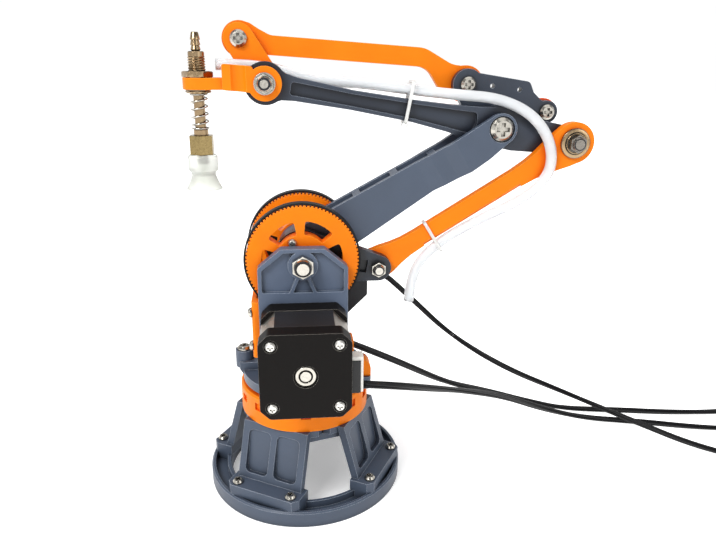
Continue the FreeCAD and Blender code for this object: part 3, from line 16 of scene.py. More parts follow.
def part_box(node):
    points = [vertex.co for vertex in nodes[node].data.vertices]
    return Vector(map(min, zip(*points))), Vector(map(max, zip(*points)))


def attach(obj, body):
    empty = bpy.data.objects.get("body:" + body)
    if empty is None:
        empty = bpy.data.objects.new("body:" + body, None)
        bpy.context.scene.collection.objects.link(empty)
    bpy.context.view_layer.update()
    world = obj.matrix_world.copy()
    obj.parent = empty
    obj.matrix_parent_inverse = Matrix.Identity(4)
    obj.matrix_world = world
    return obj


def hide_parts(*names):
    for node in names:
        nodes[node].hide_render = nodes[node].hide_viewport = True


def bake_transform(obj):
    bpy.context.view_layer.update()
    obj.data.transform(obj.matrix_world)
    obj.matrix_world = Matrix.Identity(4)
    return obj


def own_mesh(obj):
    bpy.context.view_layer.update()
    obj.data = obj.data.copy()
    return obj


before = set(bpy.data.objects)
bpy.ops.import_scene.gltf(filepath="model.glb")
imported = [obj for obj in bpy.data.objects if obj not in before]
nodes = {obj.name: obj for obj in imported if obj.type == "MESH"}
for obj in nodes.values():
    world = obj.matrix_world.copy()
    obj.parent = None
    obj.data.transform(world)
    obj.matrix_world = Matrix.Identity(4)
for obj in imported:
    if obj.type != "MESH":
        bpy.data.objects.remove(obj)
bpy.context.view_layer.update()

MM = 0.001
print("loaded", len(nodes), "nodes of the packed model")

# %% [markdown]
# ## Camera
# The arm was photographed from in front of the motor, a little above it. A camera can be set by eye, but
# then every later comparison is a guess. Here the place and the three turns come from fitting a pinhole
# camera to the motor's plate and the joints, and the lens follows from the fitted focal length in pixels
# and the width of the frame.

# %% Camera
FRAME_W = 716
FOCAL_PX = 628.668
SENSOR = 36.0
NEAR_CLIP = 0.01
CAM_AT = Vector((2.494, 325.476, 229.541)) * MM
CAM_YAW, CAM_PITCH, CAM_ROLL = -0.100424, 0.317178, 0.0085024

forward = Vector((math.sin(CAM_YAW) * math.cos(CAM_PITCH), -math.cos(CAM_YAW) * math.cos(CAM_PITCH),
                  -math.sin(CAM_PITCH)))
level_right = Vector((-math.cos(CAM_YAW), -math.sin(CAM_YAW), 0.0))
level_up = level_right.cross(forward)
right = level_right * math.cos(CAM_ROLL) + level_up * math.sin(CAM_ROLL)
up = level_up * math.cos(CAM_ROLL) - level_right * math.sin(CAM_ROLL)

camera_data = bpy.data.cameras.new("camera")
camera_data.sensor_width = SENSOR
camera_data.lens = FOCAL_PX * SENSOR / FRAME_W
camera_data.clip_start = NEAR_CLIP
camera = bpy.data.objects.new("camera", camera_data)
camera.matrix_world = Matrix.Translation(CAM_AT) @ Matrix((right, up, -forward)).transposed().to_4x4()
bpy.context.collection.objects.link(camera)
bpy.context.scene.camera = camera
print("camera lens", round(camera_data.lens, 2), "mm")

# %% [markdown]
# ## Colours and nodes
# A colour picked from a picture is in sRGB, while shaders count in linear light, so one function turns hex
# into linear. Materials could be wired by hand in the shader editor. A script is easier to read again and
# change, and one small function is enough for it: it adds a node, fills in its settings and inputs, and
# links it up.


# %% Colour and node helpers
def linear(code):
    parts = [int(code[i:i + 2], 16) / 255 for i in (0, 2, 4)]
    return [c / 12.92 if c <= 0.04045 else ((c + 0.055) / 1.055) ** 2.4 for c in parts] + [1.0]


def add(tree, kind, values=None, links=None, **settings):
    node = tree.nodes.new(kind)
    for key, value in settings.items():
        setattr(node, key, value)
    for key, value in (values or {}).items():
        node.inputs[key].default_value = value
    for key, socket in (links or {}).items():
        tree.links.new(socket, node.inputs[key])
    return node


def new_material(name, **values):
    material = bpy.data.materials.new(name)
    material.use_nodes = True
    shader = material.node_tree.nodes["Principled BSDF"]
    for key, value in values.items():
        shader.inputs[key.replace("_", " ")].default_value = value
    return material, material.node_tree, shader


print("orange F07C03 in linear light:", [round(c, 3) for c in linear("F07C03")[:3]])

# %% [markdown]
# ## Printed plastic
# Links, walls, drum and base are PLA, laid down bead by bead by a filament printer. That gives ribs across
# the layers, corners as round as the bead, and a satin gloss that drifts as the plastic cools. Modelled
# ribs would take millions of faces, so they are bump here. A Bevel node rounds the corners and finds the
# edges, which get a painted highlight, and an Ambient Occlusion node finds the inside corners, which get
# painted shade.

# %% Printed plastic
LAYER_MM = 0.8  # real layers are about 0.2 mm, too fine to show, so they are drawn four times as coarse
GRAIN_MM = 0.6  # grain in the bead is about 0.1 mm, drawn coarser for the same reason
CLOUD_MM = 14.0  # the gloss drifts over about this length
EDGE_MM = 0.45  # a printed corner is as round as the bead is wide
CORNER_SHADE_MM = 6.0  # how far the painted shade reaches out of an inside corner
BUMP_MM = 0.1
NOISE_SPAN = {"From Min": 0.3, "From Max": 0.7}  # most values of a noise texture lie between these
EDGE_SPAN = {"From Min": 0.985, "From Max": 0.85}  # cosine of the turn that the bevel gives to the surface
GLOSS_DRIFT = 0.07


def per_mm(size_mm):
    """Pattern scale for a feature of that many millimetres, in object coordinates in metres."""
    return 1.0 / (size_mm * MM)


def bands_mm(size_mm):
    """Wave scale for bands that far apart: at scale 1 Blender draws a band every 2 pi / 20 units."""
    return 2 * math.pi / 20 * per_mm(size_mm)


def printed_pla(name, code, highlight_code, shade_code, layers, roughness, sheen=0.35, shade_span=(0.8, 0.25)):
    """""PLA in layers along an axis; the last argument sets the openness where painted corner shade starts
    and ends.""
    """
    material, tree, shader = new_material(name, Roughness=roughness, Specular_IOR_Level=sheen)
    place = add(tree, "ShaderNodeTexCoord").outputs["Object"]
    cloud = add(tree, "ShaderNodeTexNoise", {"Scale": per_mm(CLOUD_MM), "Detail": 3.0}, {"Vector": place})
    grain = add(tree, "ShaderNodeTexNoise", {"Scale": per_mm(GRAIN_MM), "Detail": 2.0}, {"Vector": place})
    ribs = add(tree, "ShaderNodeTexWave", {"Scale": bands_mm(LAYER_MM), "Distortion": 0.6, "Detail": 1.0},
               {"Vector": place}, wave_type="BANDS", bands_direction=layers)
    tint = add(tree, "ShaderNodeMapRange", {**NOISE_SPAN, "To Min": 0.93, "To Max": 1.05},
               {"Value": cloud.outputs["Fac"]})
    colour = add(tree, "ShaderNodeMixRGB", {"Fac": 1.0, "Color1": linear(code)},
                 {"Color2": tint.outputs["Result"]}, blend_type="MULTIPLY")
    round_edge = add(tree, "ShaderNodeBevel", {"Radius": EDGE_MM * MM}, samples=4)
    flat = add(tree, "ShaderNodeNewGeometry")
    facing = add(tree, "ShaderNodeVectorMath", operation="DOT_PRODUCT",
                 links={0: round_edge.outputs["Normal"], 1: flat.outputs["Normal"]})
    # Painted highlight: the edges that the bevel rounds are mixed toward the paler colour.
    edge = add(tree, "ShaderNodeMapRange", {**EDGE_SPAN, "To Min": 0.0, "To Max": 0.8},
               {"Value": facing.outputs["Value"]})
    highlighted = add(tree, "ShaderNodeMixRGB", {"Color2": linear(highlight_code)},
               {"Fac": edge.outputs["Result"], "Color1": colour.outputs["Color"]})
    # Painted shade: inside corners, where the surface is hemmed in, are mixed toward the deep colour.
    hemmed = add(tree, "ShaderNodeAmbientOcclusion", {"Distance": CORNER_SHADE_MM * MM}, samples=8)
    shade_amount = add(tree, "ShaderNodeMapRange",
                {"From Min": shade_span[0], "From Max": shade_span[1], "To Min": 0.0, "To Max": 0.8},
                {"Value": hemmed.outputs["AO"]})
    corner_shaded = add(tree, "ShaderNodeMixRGB", {"Color2": linear(shade_code)},
               {"Fac": shade_amount.outputs["Result"], "Color1": highlighted.outputs["Color"]})
    gloss = add(tree, "ShaderNodeMapRange",
                {**NOISE_SPAN, "To Min": roughness - GLOSS_DRIFT, "To Max": roughness + GLOSS_DRIFT},
                {"Value": cloud.outputs["Fac"]})
    fine = add(tree, "ShaderNodeBump", {"Strength": 0.1, "Distance": BUMP_MM * MM},
               {"Height": grain.outputs["Fac"], "Normal": round_edge.outputs["Normal"]})
    layered = add(tree, "ShaderNodeBump", {"Strength": 0.25, "Distance": BUMP_MM * MM},
                  {"Height": ribs.outputs["Fac"], "Normal": fine.outputs["Normal"]})
    tree.links.new(corner_shaded.outputs["Color"], shader.inputs["Base Color"])
    tree.links.new(gloss.outputs["Result"], shader.inputs["Roughness"])
    tree.links.new(layered.outputs["Normal"], shader.inputs["Normal"])
    return material


print("printed ribs", LAYER_MM, "mm apart, wave scale", round(bands_mm(LAYER_MM), 1))

# %% [markdown]
# ## Colours of the printed pieces
# The arm is printed in an orange and a slate PLA. A piece is printed lying on its widest face, so links and
# walls have their layers along Y, and the drum and the base have them along Z. One material with a switch
# would do, but a material for each case is plainer to pick from. PLA's IOR of about 1.46 is near the
# shader's own 1.5, which stays.

# %% Colours of the printed pieces
# Orange: a satin, almost matt face, with paler painted highlights on edges and redder painted shade in
# corners.
ORANGE = ("F07C03", "FFAC42", "D63606")
orange_pla_lying = printed_pla("orange_pla_printed_lying", *ORANGE, "Y", 0.48, 0.18)
orange_pla_standing = printed_pla("orange_pla_printed_standing", *ORANGE, "Z", 0.48, 0.18)
# Painted shade: the level link sits in the shade of the others, so its orange is drawn darker and redder.
shaded_orange_pla = printed_pla("shaded_orange_pla_printed", "EE5210", "FF8A34", "A02804", "Y", 0.48)
# Slate: blue-grey with a soft shine, pale painted highlights on edges and near-black painted shade in
# corners.
SLATE = ("465060", "B4BECC", "101318")
slate_pla_lying = printed_pla("slate_pla_printed_lying", *SLATE, "Y", 0.42)
slate_pla_standing = printed_pla("slate_pla_printed_standing", *SLATE, "Z", 0.42)
# Painted light: the near wall faces the light, so it gets a lighter copy of the slate, with less painted
# shade in its shallow recesses.
lit_slate_pla = printed_pla("lit_slate_pla_printed", "546074", "B4BECC", "101318", "Y", 0.42,
                             shade_span=(0.65, 0.15))
# Forearm and triangle are a smoother, darker print, and painted shade fills their hollows at once.
# The crank has a still darker copy of it, as painted shade for the pulley's shadow that falls on it.
HOLLOW_SHADE = (0.98, 0.72)
dark_slate_pla = printed_pla("dark_slate_pla_printed", "333A46", "A4AEBD", "0A0E18", "Y", 0.36, shade_span=HOLLOW_SHADE)
crank_shaded_slate_pla = printed_pla("crank_shaded_slate_pla_printed", "272D37", "8E98A6", "07080B", "Y", 0.36, shade_span=HOLLOW_SHADE)
# The far wall is seen only as a dark corner.
black_pla = printed_pla("black_pla_printed", "1C1E23", "4A505B", "08090B", "Y", 0.45)
print("printed PLA in", sum("pla_printed" in m.name for m in bpy.data.materials), "finishes")

# %% [markdown]
# ## Plated metal
# Screws and nuts are steel, pressed or turned and then plated, and the tool's fittings are brass. One even
# shader would look like chrome paint. Handled metal has marks that vary its gloss, so noise drives that,
# and an Ambient Occlusion node paints shade into whatever is hemmed in, such as the cross in a screw head.
# Metals keep the shader's default IOR.

# %% Plated metal
SCRATCH_MM = 1.2  # handling marks are finer than a tenth of this, and are drawn coarse enough to show
NOOK_MM = 1.6  # about the depth of the cross in a screw head
NOOK_SPAN = {"From Min": 0.3, "From Max": 0.85}  # openness: full painted shade below the first, none above the second
METAL_EDGE_MM = 0.2


def plated_metal(name, code, roughness, spread, shade_level=0.3):
    material, tree, shader = new_material(name, Metallic=1.0, Roughness=roughness)
    place = add(tree, "ShaderNodeTexCoord").outputs["Object"]
    marks = add(tree, "ShaderNodeTexNoise", {"Scale": per_mm(SCRATCH_MM), "Detail": 6.0, "Distortion": 0.4},
                {"Vector": place})
    tint = add(tree, "ShaderNodeMapRange", {**NOISE_SPAN, "To Min": 0.8, "To Max": 1.05},
               {"Value": marks.outputs["Fac"]})
    colour = add(tree, "ShaderNodeMixRGB", {"Fac": 1.0, "Color1": linear(code)},
                 {"Color2": tint.outputs["Result"]}, blend_type="MULTIPLY")
    gloss = add(tree, "ShaderNodeMapRange",
                {**NOISE_SPAN, "To Min": roughness - spread, "To Max": roughness + spread},
                {"Value": marks.outputs["Fac"]})
    round_edge = add(tree, "ShaderNodeBevel", {"Radius": METAL_EDGE_MM * MM}, samples=4)
    # Painted shade: the colour is darkened where the surface is hemmed in, as in the crosses of the heads.
    nook = add(tree, "ShaderNodeAmbientOcclusion", {"Distance": NOOK_MM * MM}, samples=8)
    unshaded = add(tree, "ShaderNodeMapRange", {**NOOK_SPAN, "To Min": shade_level, "To Max": 1.0},
                {"Value": nook.outputs["AO"]})
    recess_shade = add(tree, "ShaderNodeMixRGB", {"Fac": 1.0}, blend_type="MULTIPLY",
                links={"Color1": colour.outputs["Color"], "Color2": unshaded.outputs["Result"]})
    tree.links.new(recess_shade.outputs["Color"], shader.inputs["Base Color"])
    tree.links.new(gloss.outputs["Result"], shader.inputs["Roughness"])
    tree.links.new(round_edge.outputs["Normal"], shader.inputs["Normal"])
    return material


# Nickel plating: a warm, bright mirror that breaks up at the marks.
# Painted shade turns the crosses in its heads black.
nickel_plated_steel = plated_metal("nickel_plated_steel", "BAB6AD", 0.2, 0.08, 0.15)
# Zinc plating: paler and duller than nickel, with little painted shade, so these small heads stay light all
# over.
zinc_plated_steel = plated_metal("zinc_plated_steel", "E6E4DE", 0.42, 0.06, 0.7)
# Ground steel under a film of oil: grey, and darker than plating.
oiled_steel = plated_metal("ground_oiled_steel", "86817A", 0.28, 0.08, 0.2)
# Turned brass, gone dull: an olive yellow without sparkle.
turned_brass = plated_metal("turned_brass", "8E7C54", 0.28, 0.05)
# Brass with thin nickel on it: the yellow still shows through the shine.
nickel_plated_brass = plated_metal("nickel_plated_brass", "A0896A", 0.2, 0.06, 0.15)
metals = (nickel_plated_steel, zinc_plated_steel, oiled_steel, turned_brass, nickel_plated_brass)
print("metals:", [m.name for m in metals])

# %% [markdown]
# ## Paint, rubber and nylon
# The motors' end caps are cast aluminium under black paint. The belts are moulded rubber, the sockets and
# plugs moulded nylon, and the leads have an extruded PVC jacket. All are one colour with a faint grain from
# the mould or the spray, so one function serves them, and only the paint gets a painted highlight along
# its edges.

# %% Paint, rubber and nylon
MOULD_EDGE_MM = 0.3
GLINT_SPAN = {"From Min": 0.97, "From Max": 0.8}


def moulded(name, code, roughness, grain_mm, bump_strength, glint_code=None, sheen=0.4):
    """One colour with a grain; the real one is near 0.1 mm, so grain_mm is as coarse as it needs to show."""
    material, tree, shader = new_material(name, Roughness=roughness, Specular_IOR_Level=sheen)
    place = add(tree, "ShaderNodeTexCoord").outputs["Object"]
    grain = add(tree, "ShaderNodeTexNoise", {"Scale": per_mm(grain_mm), "Detail": 3.0}, {"Vector": place})
    tint = add(tree, "ShaderNodeMapRange", {"To Min": 0.8, "To Max": 1.2}, {"Value": grain.outputs["Fac"]})
    colour = add(tree, "ShaderNodeMixRGB", {"Fac": 1.0, "Color1": linear(code)},
                 {"Color2": tint.outputs["Result"]}, blend_type="MULTIPLY")
    round_edge = add(tree, "ShaderNodeBevel", {"Radius": MOULD_EDGE_MM * MM}, samples=4)
    bump = add(tree, "ShaderNodeBump", {"Strength": bump_strength, "Distance": BUMP_MM * MM},
               {"Height": grain.outputs["Fac"], "Normal": round_edge.outputs["Normal"]})
    # Painted highlight: a pale line along the edges that the bevel rounds.
    if glint_code:
        flat = add(tree, "ShaderNodeNewGeometry")
        facing = add(tree, "ShaderNodeVectorMath", operation="DOT_PRODUCT",
                     links={0: round_edge.outputs["Normal"], 1: flat.outputs["Normal"]})
        edge_glint = add(tree, "ShaderNodeMapRange", GLINT_SPAN, {"Value": facing.outputs["Value"]})
        colour = add(tree, "ShaderNodeMixRGB", {"Color2": linear(glint_code)},
                     {"Fac": edge_glint.outputs["Result"], "Color1": colour.outputs["Color"]})
    tree.links.new(colour.outputs["Color"], shader.inputs["Base Color"])
    tree.links.new(bump.outputs["Normal"], shader.inputs["Normal"])
    return material


# Sprayed paint: flat black with hardly a sheen, and a thin bright line painted along each corner as a
# highlight.
painted_aluminium = moulded("black_painted_cast_aluminium", "131110", 0.5, 0.8, 0.05, "9A968E", 0.08)
# Moulded rubber: the dullest black here, with a visible grain.
belt_rubber = moulded("moulded_belt_rubber", "131314", 0.55, 0.5, 0.2, sheen=0.2)
# Moulded nylon: black with a soft shine, or a warm white that stays smooth.
black_nylon = moulded("moulded_black_nylon", "0F0F10", 0.45, 0.6, 0.12)
white_nylon = moulded("moulded_white_nylon", "ECE9E2", 0.35, 1.2, 0.06)
# Extruded PVC: black with a narrow highlight along each wire.
pvc_jacket = moulded("extruded_pvc_jacket", "101012", 0.42, 0.9, 0.1, sheen=0.2)
dull_finishes = (painted_aluminium, belt_rubber, black_nylon, white_nylon, pvc_jacket)
print("paint, rubber and nylon:", [m.name for m in dull_finishes])

# %% [markdown]
# ## Motor stacks
# Between its caps a stepper motor shows its stack: half-millimetre sheets of electrical steel, blackened,
# with the four cut corners ground bright. The sheets could be cut into the mesh, but they are too thin to
# count one by one, so they are a wave of bands. The ground corners need no mask: they are where the normal
# lies between two sides.

# %% Motor stacks
SHEET_MM = 0.5
CORNER_SPAN = {"From Min": 0.3, "From Max": 0.4}  # the normal's two parts multiply to 0.5 on a cut corner


def laminated_steel(name, code, ground_code, axis):
    material, tree, shader = new_material(name, Roughness=0.34)
    place = add(tree, "ShaderNodeTexCoord")
    lie = add(tree, "ShaderNodeSeparateXYZ", links={"Vector": place.outputs["Normal"]})
    across = {"Y": "Z", "Z": "Y"}[axis]
    slant = add(tree, "ShaderNodeMath", operation="MULTIPLY",
                links={0: lie.outputs["X"], 1: lie.outputs[across]})
    size = add(tree, "ShaderNodeMath", links={0: slant.outputs["Value"]}, operation="ABSOLUTE")
    corner = add(tree, "ShaderNodeMapRange", CORNER_SPAN, {"Value": size.outputs["Value"]})
    sheets = add(tree, "ShaderNodeTexWave", {"Scale": bands_mm(SHEET_MM), "Distortion": 0.3, "Detail": 1.0},
                 {"Vector": place.outputs["Object"]}, wave_type="BANDS", bands_direction=axis)
    tint = add(tree, "ShaderNodeMapRange", {"To Min": 0.75, "To Max": 1.15}, {"Value": sheets.outputs["Fac"]})
    colour = add(tree, "ShaderNodeMixRGB", {"Fac": 1.0, "Color1": linear(code)},
                 {"Color2": tint.outputs["Result"]}, blend_type="MULTIPLY")
    ground = add(tree, "ShaderNodeMixRGB", {"Color2": linear(ground_code)},
                 {"Fac": corner.outputs["Result"], "Color1": colour.outputs["Color"]})
    shine = add(tree, "ShaderNodeMapRange", {"To Min": 0.35, "To Max": 1.0},
                {"Value": corner.outputs["Result"]})
    bump = add(tree, "ShaderNodeBump", {"Strength": 0.25, "Distance": BUMP_MM * MM},
               {"Height": sheets.outputs["Fac"]})
    tree.links.new(ground.outputs["Color"], shader.inputs["Base Color"])
    tree.links.new(shine.outputs["Result"], shader.inputs["Metallic"])
    tree.links.new(bump.outputs["Normal"], shader.inputs["Normal"])
    return material


# Blackened sheets: a dark, finely lined side between four bright corners.
side_stack_steel = laminated_steel("laminated_steel_lying", "2A2624", "98948C", "Y")
yaw_stack_steel = laminated_steel("laminated_steel_standing", "2A2624", "98948C", "Z")
print("stack sheets", SHEET_MM, "mm apart")

# %% [markdown]
# ## Clear plastic
# The cup is milky silicone, the hose is extruded PVC and the ties are uncoloured nylon. Pure glass would
# vanish against a white table, as real water-clear tube does not, because its wall scatters a little. So
# each lets through only part of the light and shows its own pale colour for the rest. Silicone has an IOR
# of about 1.41, and PVC and nylon of about 1.53. They are drawn lower, since the full value puts dark rims
# on these thin walls.

# %% Clear plastic
HAZE_MM = 5.0  # thickness and haze drift along a drawn tube over about this length


def clear_plastic(name, code, transmission, roughness, ior):
    material, tree, shader = new_material(name, Roughness=roughness, IOR=ior,
                                          Transmission_Weight=transmission)
    place = add(tree, "ShaderNodeTexCoord").outputs["Object"]
    haze = add(tree, "ShaderNodeTexNoise", {"Scale": per_mm(HAZE_MM), "Detail": 2.0}, {"Vector": place})
    tint = add(tree, "ShaderNodeMapRange", {"To Min": 0.98, "To Max": 1.0}, {"Value": haze.outputs["Fac"]})
    colour = add(tree, "ShaderNodeMixRGB", {"Fac": 1.0, "Color1": linear(code)},
                 {"Color2": tint.outputs["Result"]}, blend_type="MULTIPLY")
    tree.links.new(colour.outputs["Color"], shader.inputs["Base Color"])
    return material


# Silicone: milky, and bright where it is thin.
silicone = clear_plastic("moulded_silicone", "EEF0EA", 0.7, 0.35, 1.33)
# PVC tube: a cool white with a sharp highlight, through which what lies behind is faintly seen.
clear_pvc = clear_plastic("extruded_clear_pvc", "FBFDFF", 0.52, 0.2, 1.3)
# Nylon strap: white with a glow at its edges.
tie_nylon = clear_plastic("moulded_natural_nylon", "F6F6F4", 0.4, 0.35, 1.4)
print("clear plastics:", [m.name for m in (silicone, clear_pvc, tie_nylon)])

# %% [markdown]
# ## Soft lines
# The hose and the leads hang in curves that no joint decides. A curve object with a round bevel would be
# quick, but it gives neither a bore nor twisted wires. So each route is a smooth NURBS line through a few
# points in millimetres, read back as points, and a section is swept along them in frames that do not twist.

# %% Points and frames along a line
LINE_STEPS = 10
LINE_ORDER = 3


def line_points(route):
    curve = bpy.data.curves.new("route", "CURVE")
    curve.dimensions = "3D"
    curve.resolution_u = LINE_STEPS
    spline = curve.splines.new("NURBS")
    spline.points.add(len(route) - 1)
    for point, place in zip(spline.points, route):
        point.co = (place[0] * MM, place[1] * MM, place[2] * MM, 1.0)
    spline.order_u = LINE_ORDER
    spline.use_endpoint_u = True
    holder = bpy.data.objects.new("route", curve)
    mesh = bpy.data.meshes.new_from_object(holder)
    points = [v.co.copy() for v in mesh.vertices]
    bpy.data.objects.remove(holder)
    bpy.data.curves.remove(curve)
    bpy.data.meshes.remove(mesh)
    return points


def frames_along(points):
    """Two side directions at each point, carried along the line without twisting."""
    ways = []
    for i in range(len(points)):
        ways.append((points[min(i + 1, len(points) - 1)] - points[max(i - 1, 0)]).normalized())
    side = ways[0].orthogonal().normalized()
    out = []
    for way in ways:
        side = (side - way * side.dot(way)).normalized()
        out.append((side, way.cross(side)))
    return out


def length_of(points):
    return sum((b - a).length for a, b in zip(points, points[1:]))


print("lines are read back at", LINE_STEPS, "steps between points")

# %% [markdown]
# ## Tubes and meshes
# A swept tube and a turned ring are both stacks of rings with a strip of faces between each pair. The Spin
# and Bevel tools make such strips too, but they need a selection in the editor. So the rings are joined
# here in a bmesh, Blender's editable mesh, and one function turns it into a finished piece.

# %% Tubes and meshes
SHARP = math.radians(28)


def angles(count):
    return [2 * math.pi * k / count for k in range(count)]


def circle(r, count, x=0.0, y=0.0):
    return [((x + r * math.cos(a)) * MM, (y + r * math.sin(a)) * MM) for a in angles(count)]


def join_rings(bm, rings):
    for low, high in zip(rings, rings[1:]):
        for k in range(len(low)):
            j = (k + 1) % len(low)
            bm.faces.new((low[k], low[j], high[j], high[k])).smooth = True


def add_tube(bm, points, frames, ring_at, closed_ends):
    rings = []
    for i, point in enumerate(points):
        a, b = frames[i]
        rings.append([bm.verts.new(point + a * u + b * v) for u, v in ring_at(i)])
    join_rings(bm, rings)
    if closed_ends:
        bm.faces.new(list(reversed(rings[0])))
        bm.faces.new(rings[-1])
    return rings


def finish_mesh(name, bm, material, sharp_edges=False):
    bmesh.ops.recalc_face_normals(bm, faces=bm.faces)
    mesh = bpy.data.meshes.new(name)
    bm.to_mesh(mesh)
    bm.free()
    mesh.materials.append(material)
    if sharp_edges:
        mesh.set_sharp_from_angle(angle=SHARP)
    piece = bpy.data.objects.new(name, mesh)
    bpy.context.collection.objects.link(piece)
    return piece


print("edges stay sharp above", round(math.degrees(SHARP)), "degrees")

# %% [markdown]
# ## Vacuum hose
# A clear tube carries the suction from the stem past the elbow to a bare tail. One mesh would tear when the
# arm folds, so it is three lengths. The lengths stay open where they meet, because a closed ring would show
# as a seam through the clear wall.

# %% Vacuum hose
HOSE_R, HOSE_BORE = 2.7, 1.7
HOSE_SIDES = 28
HOSE = [(40.6, -5.2, 228.6), (18.0, -7.65, 228.9), (-6.0, -7.4, 221.4), (-31.0, -6.7, 220.3),
        (-57.0, -1.2, 217.2), (-80.0, 0.6, 214.9), (-101.0, 3.6, 213.6), (-117.5, 10.0, 206.0),
        (-127.5, 12.8, 192.0), (-128.6, 13.0, 176.0), (-116.5, 9.6, 162.5), (-91.5, 7.0, 150.3),
        (-71.2, 6.8, 138.2), (-58.5, 7.2, 124.0), (-57.5, 7.6, 106.5)]


def middle(a, b):
    return tuple((p + q) / 2 for p, q in zip(a, b))


def hose_piece(name, route, cut_ends):
    """A tube with a wall; cut_ends says which of its two ends are closed and do not meet another length."""
    points = line_points(route)
    frames = frames_along(points)
    bm = bmesh.new()
    outside = add_tube(bm, points, frames, lambda i: circle(HOSE_R, HOSE_SIDES), False)
    inside = add_tube(bm, points, frames, lambda i: circle(HOSE_BORE, HOSE_SIDES), False)
    for end, cut in zip((0, -1), cut_ends):
        for k in range(HOSE_SIDES if cut else 0):
            j = (k + 1) % HOSE_SIDES
            bm.faces.new((outside[end][k], outside[end][j], inside[end][j], inside[end][k]))
    return finish_mesh(name, bm, clear_pvc), points


SPLIT_A = middle(HOSE[4], HOSE[5])
SPLIT_B = middle(HOSE[8], HOSE[9])
# Each row: node, route, the two bodies, where the blend starts and ends, the far end, and which ends are cut.
HOSE_PARTS = [
    ("hose_wrist", list(reversed(HOSE[:5] + [SPLIT_A])), "forearm", "tool_bracket",
     (2.0, -7.5, 224.0), (30.0, -6.5, 229.0), "edge_glint", (False, True)),
    ("hose_elbow", [SPLIT_A] + HOSE[5:9] + [SPLIT_B], "forearm", "rear_pin",
     (-114.0, 8.5, 208.0), (-128.0, 12.9, 185.0), "object", (False, False)),
    ("hose_tail", [SPLIT_B] + HOSE[9:], "rear_pin", "drive_link",
     (-128.0, 12.9, 183.0), (-112.0, 9.0, 161.0), "edge_glint", (False, True)),
]
for name, route, body_a, body_b, start, end, far_end, cut_ends in HOSE_PARTS:
    piece, points = hose_piece(name + "_clear", route, cut_ends)
    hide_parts(name)
    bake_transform(piece)
    print(piece.name, round(length_of(points) / MM), "mm")

# %% [markdown]
# ## Motor leads
# Each motor has four insulated wires that leave together and turn slowly round each other, down to the
# table and on to a plug. A single black tube would lose the grooves between the wires, which catch the
# light. So four thin tubes are swept side by side, and the angle at which they sit advances with the
# length.

# %% Motor leads
WIRE_R = 0.766
WIRE_SIDES = 10
WIRES = 4
TWIST_MM = 420.0
LEADS = {
    "lead_far": [(-27.65, -60.5, 104.0), (-47.5, -60.4, 104.8), (-70.0, -59.6, 84.0), (-99.0, -58.0, 55.5),
                 (-138.0, -54.8, 30.5), (-180.0, -46.5, 14.0), (-214.0, -21.0, 6.6), (-250.0, 12.0, 1.95),
                 (-298.0, 34.0, 1.95), (-342.0, 28.0, 1.95), (-382.0, 8.0, 1.95)],
    "lead_yaw": [(-21.0, 17.2, 88.3), (-35.0, 14.2, 80.8), (-58.0, 4.2, 65.6), (-86.0, -10.0, 45.5),
                 (-115.0, -22.0, 32.0), (-146.0, -33.0, 17.0), (-178.0, -42.0, 4.2), (-214.0, -41.0, 1.95),
                 (-254.0, -34.0, 1.95), (-296.0, -32.0, 1.95), (-338.0, -38.0, 1.95), (-376.0, -50.0, 1.95)],
    "lead_near": [(-27.45, 60.5, 85.0), (-42.0, 57.5, 82.0), (-64.0, 40.0, 70.0), (-92.0, 14.5, 53.0),
                  (-122.0, -6.0, 36.5), (-152.0, -20.0, 18.5), (-186.0, -28.5, 4.6), (-222.0, -25.5, 1.95),
                  (-262.0, -14.0, 1.95), (-306.0, -8.5, 1.95), (-350.0, -16.0, 1.95)],
}


def lead_piece(name, route):
    points = line_points(route)
    frames = frames_along(points)
    run = [0.0]
    for a, b in zip(points, points[1:]):
        run.append(run[-1] + (b - a).length / MM)
    off_centre = math.sqrt(2) * WIRE_R
    bm = bmesh.new()
    for wire in range(WIRES):
        def wire_ring(i):
            turn = 2 * math.pi * (run[i] / TWIST_MM + wire / WIRES)
            return circle(WIRE_R, WIRE_SIDES, off_centre * math.cos(turn), off_centre * math.sin(turn))
        add_tube(bm, points, frames, wire_ring, True)
    return finish_mesh(name, bm, pvc_jacket), points


for name, route in LEADS.items():
    piece, points = lead_piece(name + "_wires", route)
    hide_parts(name)
    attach(piece, "turret")
    print(piece.name, round(length_of(points) / MM), "mm")

# %% [markdown]
# ## Finish of the solids
# Every solid gets the material of what it is made of, and a few get a copy with painted light or shade.
# Materials could be handed out one object at a time, but a table shows at a glance which pieces share a
# finish. Round faces are shaded smooth, and an edge stays sharp where two faces meet at more than 28 degrees.

